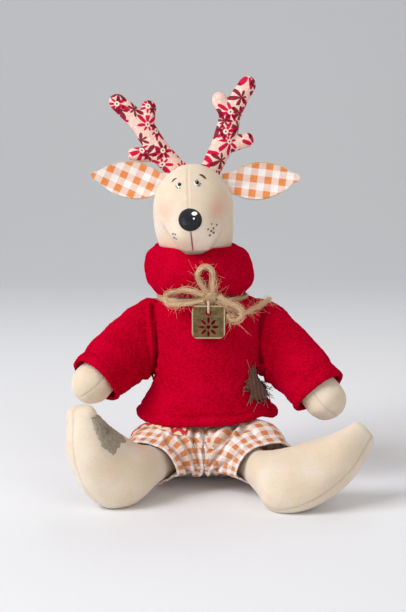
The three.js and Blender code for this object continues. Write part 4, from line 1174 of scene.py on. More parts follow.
class PLUSH_OT_face(PlushStep):
    """Paints the eyes, brows, nose, mouth and freckles on the head, with painted highlights on the pupils and
    the nose
    """

    bl_idname = "plush.face"
    bl_label = "Painted face"

    # Places in the front view as x and z, then: half width and how tall it is to that, the ways of the
    # lashes, the width of a brow
    pupils = ((-14.8, 193.3), (-3.7, 194.6))
    whites = ((-15.5, 192.5, 1.3, 1.05), (-4.3, 194.1, 1.2, 1.0))
    lashes = ((-15.3, 192.8, (-165, -138, -112, -70)), (-3.5, 194.2, (-75, -45, -15, 100, 135)))
    brows = (([(-19.7, 194.4), (-18.4, 196.0), (-16.7, 196.9)], 0.8),
             ([(-2.3, 199.2), (-0.4, 198.6), (1.9, 196.6)], 1.15))
    mouth = [(-7.5, 167.0), (-7.2, 163.0), (-6.6, 156.3), (-6.35, 152.6)]
    freckles = ((-19.0, 168.6), (-18.6, 164.2), (-17.0, 164.0), (-16.4, 161.2), (-17.8, 161.8),
                (-20.2, 168.4), (5.3, 170.4), (8.4, 169.2), (3.1, 167.4), (6.5, 167.7), (5.1, 166.2),
                (6.6, 165.0), (4.2, 163.6))
    nose_middle = (-7.9, 173.2)
    nose_half = (7.3, 6.75)
    nose_glints = ((-5.3, 177.0, 1.75, 0.15, 0.65, 1.42), (-5.6, 174.2, 0.6, 0.12, 1.0, 1.5))

    def make(self, context):
        black = paint_finish("paint_black", (0.006, 0.007, 0.009), 0.3)
        white = paint_finish("white_paint_and_highlights", (0.86, 0.86, 0.84), 0.3)
        brown = paint_finish("paint_brown", (0.10, 0.02, 0.012), 0.6)
        tan = paint_finish("paint_tan", (0.24, 0.085, 0.04), 0.6)

        def dot(name, x, z, r, lift=0.12, flat=1.0, base=0.0):
            """A dab of paint: an oval that is flat times as tall as wide, on a base above the cloth."""
            a = around(20)
            ring = np.stack([x + r * np.cos(a), z + r * flat * np.sin(a)], -1)
            grid, share = outlined(ring, 6, 20)
            return painted(name, grid, share, lambda u, v, rise: face_point(u, v, rise + base), lift)

        def line(name, points, width, lift=0.1, taper=0.35):
            """A painted stroke along points."""
            grid, share = stroke(points, width, taper)
            rise = dome(share, lift) - 0.02
            points = face_point(grid[..., 0], grid[..., 1], rise)
            return cloth_mesh(name, points, round_way=False, toward=(0, -1, 0))

        def lash(x, z, degrees):
            """A stroke that leaves an eye one way and bends a little."""
            ux, uz = math.cos(math.radians(degrees)), math.sin(math.radians(degrees))
            points = [(x + 1.2 * ux, z + 1.2 * uz), (x + 1.8 * ux, z + 1.7 * uz),
                      (x + 2.5 * ux + 0.15, z + 2.4 * uz)]
            return line("lash", points, 0.5)

        whites = [dot("white", x, z, r, 0.12, flat) for x, z, r, flat in self.whites]
        # Painted highlights: a small white dot on each pupil stands for a lamp's reflection.
        whites += [dot("glint", x - 0.35, z + 0.4, 0.2, 0.1, 1.0, 0.3) for x, z in self.pupils]
        dots = [dot("pupil", x, z, 1.15, 0.2, 1.0, 0.16) for x, z in self.pupils]
        lashes = [lash(x, z, degrees) for x, z, turns in self.lashes for degrees in turns]
        brows = [line("brow", points, width) for points, width in self.brows]
        mouth = [line("mouth", self.mouth, 0.85, 0.1, 0.5)]
        freckles = [dot("freckle", x, z, 0.72) for x, z in self.freckles]
        for name, things, finish in (("eyes", dots + lashes, black), ("eye_whites_and_highlights", whites, white),
                                     ("brows", brows, brown), ("mouth", mouth + freckles, tan)):
            dress(merged(name, things), finish, "head")
        nose_paint = paint_finish("nose_paint", (0.010, 0.013, 0.019), 0.4, 0.12, 0.16 * MM)
        dress(self.nose(), nose_paint, "head")
        # Painted highlights: two white dots on the nose stand for a lamp's reflection.
        glints = [dot("glint", *places) for places in self.nose_glints]
        dress(merged("nose_glints", glints), white, "head")

    def nose(self):
        """The nose: a round patch on the end of the muzzle that stands proud like a button, with fine
        lumps and a shallow groove down its middle."""
        a = around(72)
        (x, z), (wide, tall) = self.nose_middle, self.nose_half
        ring = np.stack([x + wide * np.cos(a), z + tall * np.sin(a)], -1)
        grid, share = outlined(ring, 26, 72)
        x, z = grid[..., 0], grid[..., 1]
        rise = dome(share, 1.5, 4) - 0.05 + 0.05 * nap(share.shape, 8, 2) * (1 - share)
        groove = 0.25 * bell(x + 8.6 + 0.3 * np.sin(z), 0.35)
        rise = rise + (0.12 * ripple(x, 0, z, 2.2, 9) - groove) * (1 - share**4)
        return cloth_mesh("nose", face_point(x, z, rise), caps=(True, False), toward=(0, -1, 0))


class PLUSH_OT_ears(PlushStep):
    """Makes the two ears, each a calico back and a gingham lining"""

    bl_idname = "plush.ears"
    bl_label = "Ears"

    rise = {"west": 7, "east": 5}
    root_x = {"west": -28.0, "east": 18.4}
    root_z = 192.5
    half_thick = 0.75
    hollow = 4.5
    cloth_tilt = {"west": -18, "east": 12}

    def make(self, context):
        lining = gingham_finish(self.colours, self.sizes.check, "ear_gingham")
        calico = calico_finish(self.colours, "ear_calico", False)
        for side in SIDES:
            back = self.ear(side, "ear_calico_" + side, 1.0, 3.0, 0.0)
            dress(back, calico, "head", ["ear_back_" + side])
            front = self.ear(side, "ear_gingham_" + side, 0.93, 1.15, 1.5)
            dress(front, lining, "head", ["ear_lining_" + side])

    def ear(self, side, name, share_wide, y, crown):
        """An ear: an oval lens along a line out of the head, hollowed by a parabola across its width.
        Its front swells by crown, and near the root it has a soft fold."""
        sign = SIGN[side]
        rise = math.radians(self.rise[side])
        along = np.array([sign * math.cos(rise), 0, math.sin(rise)])
        across = np.array([-sign * math.sin(rise), 0, math.cos(rise)])
        root = np.array([self.root_x[side], y, self.root_z])
        a = around(96)
        tip = np.linspace(0.12, 1.5, 9)
        s = np.concatenate([np.linspace(-0.14, 1, 56), 1 + 0.0715 * np.sin(tip)])
        half = ear_half(s) * share_wide * np.concatenate([np.ones(56), np.cos(tip)])
        cup = self.hollow * half / EAR_HALF
        t = np.cos(a)[None, :]
        depth = np.sin(a)[None, :]
        body = np.maximum(1 - t**2, 0) ** 0.5
        swell = crown * body * smooth(-0.1, 0.35, s)[:, None] * smooth(1.08, 0.7, s)[:, None]
        back = cup[:, None] * (1 - t**2) + self.half_thick * depth
        points = root + (s * EAR_LONG)[:, None, None] * along + (half[:, None] * t)[..., None] * across
        points[..., 1] += back - np.where(depth < 0, swell, 0) * np.abs(depth)
        wave = 0.35 * ripple(points[..., 0], 0 * points[..., 0], points[..., 2], 9, 4 if sign < 0 else 6)
        fold = 2.0 * bell(t + 0.35, 0.3) * smooth(0.45, 0.0, s)[:, None]
        points[..., 1] += wave * body + fold
        tilt = math.radians(self.cloth_tilt[side])
        u, v = (points - root) @ along, (points - root) @ across
        uv = pairs(u * math.cos(tilt) - v * math.sin(tilt), u * math.sin(tilt) + v * math.cos(tilt))
        return cloth_mesh(name, points, caps=(True, True), uv=closed(uv))


class PLUSH_OT_antlers(PlushStep):
    """Makes the two antlers, each a beam with two tines"""

    bl_idname = "plush.antlers"
    bl_label = "Antlers"

    lean = {"west": 41, "east": 23}
    foot = {"west": np.array([-14.5, ANTLER_Y, 199]), "east": np.array([4.0, ANTLER_Y, 200])}

    def make(self, context):
        cloth = print_finish(self.colours, self.sizes)
        for side in SIDES:
            piece = self.antler(context, side)
            dress(piece, cloth, "head", ["antler_" + side])

    def antler(self, context, side):
        """A beam and two tines: oval tubes remeshed into one skin, which is then drawn in along the
        seam round its outline."""
        lean = math.radians(self.lean[side])
        sign = SIGN[side]
        along = np.array([sign * math.sin(lean), 0, math.cos(lean)])
        out = np.array([sign * math.cos(lean), 0, -math.sin(lean)])
        foot = self.foot[side]

        def branch(shares, radii, size):
            """A limb of the antler: a line in shares of the beam's length, aside and along, and radii
            at even steps in shares of its size, with a round tip."""
            line, _ = along_path([foot + BEAM_LONG * (a * out + b * along) for a, b in shares], 0.8)
            half = size * through(radii, np.linspace(0, 1, len(line)))
            cap = np.linspace(0.1, 1.52, 9)
            way = unit(line[-1] - line[-2])
            line = np.concatenate([line, line[-1] + np.sin(cap)[:, None] * half[-1] * way])
            half = np.concatenate([half, half[-1] * np.cos(cap)])
            a = around(28)
            way = unit(np.gradient(line, axis=0))
            side_way = np.cross(way, np.array([0.0, -1, 0]))
            ring = side_way[:, None] * np.cos(a)[:, None] + np.array([0.0, 0.78, 0]) * np.sin(a)[:, None]
            return cloth_mesh("branch", line[:, None] + half[:, None, None] * ring, caps=(True, True))

        piece = merged("antler_cloth_" + side, [
            branch([(0, -0.06), (0.02, 0.3), (-0.02, 0.62), (0.015, 0.93)],
                   [0.95, 1, 1.02, 0.98, 0.86, 0.79], 7.1),
            branch([(0.0, 0.24), (0.05, 0.28), (0.12, 0.34), (0.225, 0.43)], [1.05, 0.98, 1, 0.94], 5.1),
            branch([(0.0, 0.555), (-0.04, 0.58), (-0.1, 0.62), (-0.185, 0.69)], [1.05, 0.98, 1, 0.94], 5.1)])
        context.view_layer.objects.active = piece
        remesh = piece.modifiers.new("one skin", "REMESH")
        remesh.mode, remesh.voxel_size = "VOXEL", 0.75 * MM
        blur = piece.modifiers.new("soft forks", "SMOOTH")
        blur.iterations, blur.factor = 7, 0.6
        for modifier in ("one skin", "soft forks"):
            bpy.ops.object.modifier_apply(modifier=modifier)
        mesh = piece.data
        place = np.zeros(len(mesh.vertices) * 3)
        mesh.vertices.foreach_get("co", place)
        place = place.reshape(-1, 3) / MM
        seam = bell(place[:, 1] - ANTLER_Y, 0.55)
        way = np.zeros(len(mesh.vertices) * 3)
        mesh.vertex_normals.foreach_get("vector", way)
        way = way.reshape(-1, 3)
        puff = 0.25 * ripple(*place.T, 8, 9)
        place = place + way * (puff + 0.15 - 0.5 * seam)[:, None]
        mesh.vertices.foreach_set("co", (place * MM).ravel())
        mark = mesh.attributes.new("seam", "FLOAT", "POINT")
        mark.data.foreach_set("value", 0.7 * seam)
        mesh.shade_smooth()
        mesh.update()
        return piece


class PLUSH_OT_sweater(PlushStep):
    """Makes the sweater's body, roll collar and sleeves"""

    bl_idname = "plush.sweater"
    bl_label = "Sweater"

    blend_over = np.array([31.0, 50.0])
    # Creases from under each arm: angle round the chest, slope, depth and half width
    arm_creases = ((1.28, 0.010, 1.5, 2.6), (1.08, 0.016, 1.1, 2.2), (1.45, 0.004, 0.9, 2.4))
    collar_bottom = 122.4
    collar_tall = 30.2
    collar_half = {"wide": 35.2, "deep": 32.6}

    def make(self, context):
        fleece = fleece_finish(self.colours, self.sizes)
        for piece, node in ((self.body(), "sweater_body"), (self.collar(), "sweater_collar")):
            dress(piece, fleece, "torso", [node])
        for side in SIDES:
            piece = dress(self.sleeve(side), fleece, "arm_" + side, ["sleeve_" + side])
            piece.parent = None
            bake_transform(piece)

    def body(self):
        """The sweater's body: stacked ovals closed over the shoulders, with creases from under the arms,
        folds along the armholes and a rolled hem that curls up at its east end."""
        angle = around(280)
        z = np.linspace(HEM_Z, 116.8, 100)
        cx, cy, wide, deep = sweater_rings(z)
        main = standing(z, cx, cy, wide, deep, angle)
        inset, high = np.array([[0.5, 118.0], [1.8, 118.55], [5, 118.6], [9, 118.6], [13, 118.5]]).T
        cx, cy, wide, deep = sweater_rings(high)
        cx, cy = cx - 7 * np.array([0, 0, 0.1, 0.3, 0.6]), cy + np.array([0, 0, 0.2, 0.5, 0.8])
        over = standing(high, cx, cy, wide - inset, deep - inset * 0.7, angle)
        points = np.concatenate([main, over])
        x, y, zz = np.moveaxis(points, -1, 0)
        a = wrapped(angle)[None, :]
        fade = smooth(118.5, 112, zz)
        lift = 0.7 * ripple(x, y, zz * 0.8, 26, 1) + 0.12 * nap(zz.shape, 2, 2)
        for sign, spread in ((-1, 1.0), (1, 1.15)):
            out = sign * a
            for start, slope, deep_in, width in self.arm_creases:
                line = 74 + (out - start) * 34 + slope * 100
                near = bell(out - start, 0.42)
                lift = lift - deep_in * bell(zz - line, width * spread) * near
                lift = lift + 0.7 * deep_in * bell(zz - line - 4.6, 2.8) * near
        # The fold mark is painted shade along the armhole folds.
        push, fold = creased(points, ARMHOLES, (-4, -12))
        lift = lift + 1.6 * push
        roll = 0.85 * bell(zz - 44.2, 2.0) - 0.7 * bell(zz - 48.0, 1.4)
        curl = 2.2 * bell(a - 1.75, 0.35) * smooth(52, 43, zz)
        lift = (lift + roll + curl) * fade
        points = points + normals(points) * lift[..., None]
        points[..., 2] += (0.8 * np.sin(3 * a + 0.6) + 3.6 * bell(a - 0.9, 0.35)) * smooth(54, 42, zz)
        return cloth_mesh(
            "sweater_fleece", walls(points, FLEECE_WALL), round_rows=True, marks={"fold": walled(fold)})

    def collar(self):
        """The roll collar: its outside is stacked ovals that lean with the head, its inside follows the
        neck, and its rim dips in front under the chin."""
        angle = around(260)
        share = np.linspace(0, 1, 44)
        z = self.collar_bottom + self.collar_tall * (1 - np.cos(math.pi * share)) / 2
        part = (z - self.collar_bottom) / self.collar_tall
        wide, deep = (half * through([0.84, 0.94, 0.985, 1, 0.995, 0.965, 0.9, 0.74], part)
                      for half in self.collar_half.values())
        outer = standing(z, -1.6 - 3.4 * part**2, HEAD_AXIS[1], wide, deep, angle)
        inner_z = np.linspace(152.2, 122.8, 30)
        bore = head_radius(inner_z) + 0.7
        inner = standing(inner_z, *HEAD_AXIS, bore, bore, angle)
        dip = 3.7 * np.exp(-((wrapped(angle + 0.03) / 0.36) ** 4)) - 0.7
        outer[..., 2] -= (part**2)[:, None] * dip
        inner[..., 2] -= (((inner_z - self.collar_bottom) / self.collar_tall) ** 2)[:, None] * dip
        x, y, zz = np.moveaxis(outer, -1, 0)
        a = wrapped(angle)[None, :]
        fade = np.sin(math.pi * np.clip(share, 0.02, 0.98))[:, None] ** 0.5
        lift = 0.75 * ripple(x, y, zz, 22, 12) + 0.13 * nap(zz.shape, 13, 2)
        sag = -0.9 * bell(zz - (129 + 3 * np.sin(2 * a + 1)), 2.2) * (0.5 + 0.5 * np.sin(3 * a + 0.5))
        outer = outer + normals(outer) * ((lift + sag) * fade)[..., None]
        return cloth_mesh("collar_fleece", np.concatenate([outer, inner]), round_rows=True)

    def sleeve(self, side):
        """A sleeve with creases at the bend, folds along the armhole and a turned cuff."""
        angle = around(190)[None, :]
        t = np.linspace(0, 1, 92)[:, None]
        flat = sleeve_point(side, *np.broadcast_arrays(t, angle))
        out = arm_line(side)[0]
        root = flat[:1] - out * np.array([5.0, 2.5])[:, None, None]
        points = np.concatenate([root, flat])
        t = np.concatenate([[[0.0], [0.0]], t])
        x, y, z = np.moveaxis(points, -1, 0)
        under = (1 - np.cos(angle)) / 2
        seed = 21 if side == "west" else 27
        lift = 0.75 * ripple(x, y, z, 20, seed) + 0.11 * nap(z.shape, seed + 1, 2)
        for at, deep_in in ((0.24, 1.1), (0.46, 0.7)):
            wave = at + 0.06 * np.sin(angle * 2 + seed)
            lift = lift - deep_in * bell(t - wave, 0.06) * (0.1 + under**2)
            lift = lift + 0.7 * deep_in * bell(t - wave - 0.12, 0.07) * (0.1 + under**2)
        cuff = 0.7 * bell(t - 0.975, 0.02) - 0.5 * bell(t - 0.92, 0.014)
        fade = smooth(0.0, 0.12, t)
        # The fold mark is painted shade along the armhole folds.
        push, fold = creased(points, ARMHOLES, (0, -8))
        points = points + normals(points) * ((lift + cuff) * fade + 1.3 * push)[..., None]
        return cloth_mesh("sleeve_fleece_" + side, walls(points, FLEECE_WALL), round_rows=True,
                          marks={"fold": walled(fold)})


class PLUSH_OT_patch(PlushStep):
    """Makes the knitted patch with its frayed edge on the sweater"""

    bl_idname = "plush.patch"
    bl_label = "Knitted patch"

    # The outline across from the middle of the chest and up, in shares of the chest's half width
    shares = ((0.92, 2.28), (0.85, 2.2), (0.72, 1.9), (0.82, 1.8), (0.84, 1.68), (1.03, 1.6),
              (1.22, 1.56), (1.15, 1.8), (0.98, 1.95))
    spokes = 160
    threads = 46

    def make(self, context):
        outline = [(CHEST[0] + CHEST_HALF_WIDTH * a, CHEST_HALF_WIDTH * b) for a, b in self.shares]
        grid, share = outlined(outline, 26, self.spokes, 31, 0.06)
        x, z = grid[..., 0], grid[..., 1]
        rib = np.abs(np.sin(math.pi * (x + 0.15 * z) / 2.3))
        rise = 1.5 * (1 - share**6) + 0.45 * rib + 0.3 * ripple(x, 0, z, 3.5, 33) - 0.5 * share**6
        points = on_sweater(x, z, rise)
        # The groove mark is painted shade in the hollows between the ribs.
        patch = cloth_mesh("knit", points, caps=(True, False), toward=(1, -1, 0),
                           marks={"groove": 1 - smooth(0.1, 0.7, rib)})
        rng = np.random.default_rng(35)
        threads = []
        for _ in range(self.threads):
            at = rng.integers(0, self.spokes)
            base = grid[-2, at]
            outwards = unit(base - grid[0, at]) + rng.normal(size=2) * 0.5
            reach = rng.uniform(0.8, 2.8)
            bend = np.linspace(0, 1, 6)[:, None] ** 2 * rng.normal(size=2) * 1.9
            line = base + np.linspace(-0.4, 1, 6)[:, None] * reach * outwards + bend
            lifted = on_sweater(line[:, 0], line[:, 1], np.linspace(0.7, rng.uniform(1.0, 2.6), 6))
            path, _ = along_path(lifted, 0.5)
            threads.append(twine("thread", path, 0.36, turns_per_mm=0.5))
        knit = yarn_finish("brown_knit", (0.15, 0.065, 0.035), (0.06, 0.022, 0.012), (0.24, 0.15, 0.09),
                           0.7 * MM, 0.3 * MM, "groove")
        pale = yarn_finish("frayed_yarn", (0.24, 0.13, 0.085), (0.12, 0.055, 0.035), (0.42, 0.32, 0.24),
                           0.5 * MM, 0.1 * MM, "groove")
        dress(patch, knit, "torso", ["sweater_patch"])
        dress(merged("frayed_threads", threads), pale, "torso")


class PLUSH_OT_arms(PlushStep):
    """Makes the stuffed arms with their round hands"""

    bl_idname = "plush.arms"
    bl_label = "Arms and hands"

    arm_seat = 27.35
    arm_radius = 9.8
    hand_radius = 13.2
    hand_out = {"west": 3, "east": 6}
    seam_at = {"west": 1.9, "east": 1.25}

    def make(self, context):
        for side in SIDES:
            piece, calico = self.arm(side), calico_finish(self.colours, "hand_calico_" + side)
            dress(piece, calico, "arm_" + side, ["arm_" + side])

    def arm(self, side):
        """An arm: a round tube on a quadratic curve from the shoulder through the bend to the hand,
        which ends in a half ball, with a seam along both sides."""
        out, shoulder, bend, cuff, hanging = arm_line(side)
        root = shoulder + out * (self.arm_seat - SHOULDER_OUT)
        tip = cuff + hanging * self.hand_out[side]
        s = np.linspace(0, 1, 70)[:, None]
        line = (1 - s) ** 2 * root + 2 * s * (1 - s) * bend + s * s * tip
        share, shares = s[:, 0], [1, 1.02, 1.05, 1.12, 1.24, 1.34]
        radius = self.arm_radius * through(shares, share)
        radius = radius * (1 + (self.hand_radius / (shares[-1] * self.arm_radius) - 1) * share)
        cap = np.linspace(0.05, 1.54, 22)
        line = np.concatenate([line, tip + np.sin(cap)[:, None] * self.hand_radius * hanging])
        radius = np.concatenate([radius, radius[-1] * np.cos(cap)])
        along = unit(np.concatenate([np.gradient(line[:70], axis=0), np.repeat(hanging[None], 22, 0)]))
        rise = unit(UP - along * (along @ UP)[:, None])
        aside = np.cross(along, rise)
        a = around(96)
        ring = rise[:, None] * np.cos(a)[:, None] + aside[:, None] * np.sin(a)[:, None]
        flat = line[:, None] + radius[:, None, None] * ring
        away = np.abs(wrapped(a - self.seam_at[side], math.pi))[None, :] * np.maximum(radius, 3)[:, None]
        seam = bell(away, 0.5)
        lift = 0.3 * ripple(*np.moveaxis(flat, -1, 0), 11, 41) - 0.4 * seam
        points = flat + normals(flat) * (lift * np.minimum(radius / 5, 1)[:, None])[..., None]
        marks = {"seam": 0.6 * seam, "blush": 0 * seam}
        return cloth_mesh("hand_" + side, points, caps=(True, True), marks=marks)


# Folds in the front of each leg of the shorts, as in ARMHOLES.
FOLDS = {
    "west": [
        ([(-6.3, 39.6), (-4.2, 26.7), (-2.3, 16.3)], 1.9, 1.5),
        ([(-14.5, 35.7), (-8.2, 26.7), (-4.4, 15.0)], 1.3, 1.3),
        ([(-23.3, 34.5), (-14.5, 25.5), (-8.2, 11.7)], 1.5, 1.3),
        ([(-19.0, 38.0), (-12.0, 36.5), (-6.5, 33.0)], 0.8, 1.3)],
    "east": [
        ([(1.9, 35.1), (5.7, 29.3), (12.0, 33.8), (19.5, 40.3)], 2.0, 1.6),
        ([(17.6, 36.4), (12.0, 29.9), (1.9, 15.6)], 1.6, 1.4),
        ([(23.3, 30.5), (14.5, 22.8), (5.7, 13.7)], 1.2, 1.3),
        ([(34.9, 42.0), (29.0, 41.0), (23.0, 38.0)], 0.9, 1.3)]}


class PLUSH_OT_shorts(PlushStep):
    """Makes the seat and both legs of the gingham shorts and the tape on one leg"""

    bl_idname = "plush.shorts"
    bl_label = "Shorts"

    seat_round = 193.2
    gusset_round = 110.4
    gusset_radius = 19.0
    # The fuller hip: its angle round the leg and how far it stands out
    hip_bulge = {"west": (0.8, 4.2), "east": (0.55, 6.6)}
    # The middle of the tape, as shares along the leg of the shorts and angles round it
    tape_line = ((0.94, 0.86), (0.81, 0.75), (0.67, 0.63), (0.58, 0.4), (0.56, 0.12), (0.54, -0.14),
                 (0.42, -0.42), (0.26, -0.6))
    tape_half = 2.9
    tape_thick = 1.3
    tape_cream = (0.81, 0.70, 0.50)
    stitch_half = 1.2 * MM
    stitch_wave = 6.5 * MM
    stitch_swing = 1.1 * MM

    def make(self, context):
        gingham = gingham_finish(self.colours, self.sizes.shorts_check, deep=0.82)
        dress(self.seat(), gingham, "torso", ["shorts_seat"])
        for side in SIDES:
            dress(self.leg(side), gingham, "leg_" + side, ["shorts_leg_" + side])
        tape = self.tape()
        dress(tape, self.tape_finish(), "leg_west", ["shorts_tape"])

    def seat(self):
        """The seat: stacked ovals from the floor to the waist, and a gusset round the hip line
        between the legs with a seam down its middle."""
        angle = around(200)
        z = np.concatenate([[0, 0, 0.4, 1.4], np.linspace(3, SHORTS_HEIGHT, 50)])
        share = np.clip(z / SHORTS_HEIGHT, 0, 1)
        inset = np.concatenate([[14, 5, 2.2, 0.8], np.zeros(50)])
        wide = SHORTS_HALF_WIDTH * through([0.82, 0.97, 1.01, 1, 0.97, 0.95], share) - inset
        deep = SHORTS_HALF_DEPTH * through([0.84, 0.97, 1.01, 1, 0.985, 0.97], share) - inset
        points = standing(z, *CHEST, wide, deep, angle)
        x, y, zz = np.moveaxis(points, -1, 0)
        lift = (0.6 * ripple(x, y, zz, 17, 51) + 0.1 * nap(zz.shape, 52, 2)) * smooth(0.5, 6, zz)
        points = points + normals(points) * lift[..., None]
        points[..., 2] = np.maximum(points[..., 2], 0)
        points = off_floor(points)
        uv = pairs(np.linspace(0, self.seat_round, 201), z[:, None])
        seat = cloth_mesh("seat", points, caps=(True, True), uv=uv)
        across = np.linspace(-6.4, 6.4, 25)
        phi = around(160)[None, :]
        radius = self.gusset_radius - 0.6 * bell(across, 0.9)[:, None] - 0.02 * across[:, None] ** 2 + 0 * phi
        ring = np.cos(phi)[..., None] * UP + np.sin(phi)[..., None] * HIP_BACK
        band = HIP_MIDDLE + across[:, None, None] * HIP_LINE + radius[..., None] * ring
        band = off_floor(band)
        band[..., 2] = np.maximum(band[..., 2], 0.1)
        uv = pairs(across[:, None], np.linspace(0, self.gusset_round, 161))
        gusset = cloth_mesh("gusset", band, caps=(True, True), uv=uv)
        return merged("shorts_seat_gingham", [seat, gusset])

    def leg(self, side):
        """A leg of the shorts: the sweep of shorts_leg with creases fanned from the crotch, a fuller hip
        and a hem. The check runs with the rim, measured back from it along each line."""
        cols = 220
        phi = around(cols)[None, :]
        t = np.linspace(0, 1, 72)[:, None]
        seed = 61 if side == "west" else 67
        points = shorts_leg(side, *np.broadcast_arrays(t, phi))
        gone = gone_along(points)
        back = gone[-1] - gone
        x, y, z = np.moveaxis(points, -1, 0)
        inner = (1 - np.sin(phi)) / 2
        lift = 0.55 * ripple(x, y, z, 13, seed) + 0.09 * nap(z.shape, seed + 1, 2)
        fan = np.sin(7 * phi + 5 * t + seed) * inner**2 * smooth(0.75, 0.1, t) * 1.1
        at, far = self.hip_bulge[side]
        hip = far * bell(phi - at, 0.5) * bell(t - 0.6, 0.3)
        hem = 0.55 * smooth(6.0, 5.2, back) - 0.5 * bell(back - 6.0, 0.5)
        # The fold mark is painted shade along the folds of the shorts.
        push, fold = creased(points, FOLDS[side])
        lift = (lift + fan + hip) * smooth(0, 0.05, t) + hem + push * smooth(1.5, 5, back)
        points = points + normals(points) * (lift * smooth(0.2, 3.0, z))[..., None]
        points[..., 2] = np.maximum(points[..., 2], 0.3)
        if side == "west":
            self.cloth = points
        checks_round = 38 * self.sizes.shorts_check / MM
        uv = walled(pairs(np.linspace(0, checks_round, cols + 1), closed(back) + 0.5))
        return cloth_mesh("shorts_gingham_" + side, walls(points, COTTON_WALL), round_rows=True,
                          uv=np.concatenate([uv, uv[:1]]), marks={"fold": walled(fold)})

    def tape(self):
        """The tape: a strip a little off the west leg's cloth. Its middle is a line through shares along
        and angles round that leg, read off its grid, and its width runs square to that line."""
        line = through(self.tape_line, np.linspace(0, 1, 130))
        grid, out = self.cloth, normals(self.cloth)
        row, col = line[:, 0] * (len(grid) - 1), np.mod(line[:, 1] / (2 * math.pi), 1) * grid.shape[1]
        i, j = row.astype(int), col.astype(int)
        a, b = (row - i)[:, None], (col - j)[:, None]
        k = (j + 1) % grid.shape[1]

        def read(g):
            """A grid, read between its points along the tape's line."""
            return (1 - a) * ((1 - b) * g[i, j] + b * g[i, k]) + a * ((1 - b) * g[i + 1, j] + b * g[i + 1, k])

        middle, away = read(grid), unit(read(out))
        weights = bell(np.arange(-9, 10), 4.0)
        for values in (middle, away):
            for axis in range(3):
                padded = np.pad(values[:, axis], 9, "edge")
                values[:, axis] = np.convolve(padded, weights / weights.sum(), "valid")
        aside = unit(np.cross(away, unit(np.gradient(middle, axis=0))))
        width = np.linspace(-1, 1, 13)
        rise = 1.5 - 0.25 * np.abs(width) ** 6 + 0.15 * np.sin(np.arange(130) * 0.31)[:, None]
        top = middle[:, None] + self.tape_half * width[:, None] * aside[:, None]
        top = top + rise[..., None] * away[:, None]
        ring = np.concatenate([top, top[:, ::-1] - self.tape_thick * away[:, None]], 1)
        uv = pairs(2.5 * np.concatenate([width, -width]), np.linspace(0, 46, 130)[:, None])
        return cloth_mesh("shorts_tape_cotton", ring, caps=(True, True), uv=closed(uv))

    def tape_finish(self):
        """Woven cotton tape with a plain wavy line of red stitches along it."""
        finish = Finish("cream_tape", self.tape_cream, 0.9, Sheen_Weight=0.1)
        u, v, _ = finish.parts(finish.cloth_way())
        wave = finish.sum("SINE", finish.times(v, 2 * math.pi / self.stitch_wave))
        away = finish.sum("ABSOLUTE", finish.sum("SUBTRACT", u, finish.times(wave, self.stitch_swing)))
        line = finish.step(away, self.stitch_half, self.stitch_half + 0.3 * MM, 1.0, 0.0)
        tone = finish.mottled(self.tape_cream, 1.2 * MM, 3, 0.3, 0.8, 0.4, (0.62, 0.48, 0.30))
        finish.colour(finish.blend(line, tone, (0.62, 0.012, 0.03)))
        weave(finish, finish.where(), 0.4 * MM, 0.06 * MM)
        finish.bump(line, 0.25 * MM)
        return finish.material


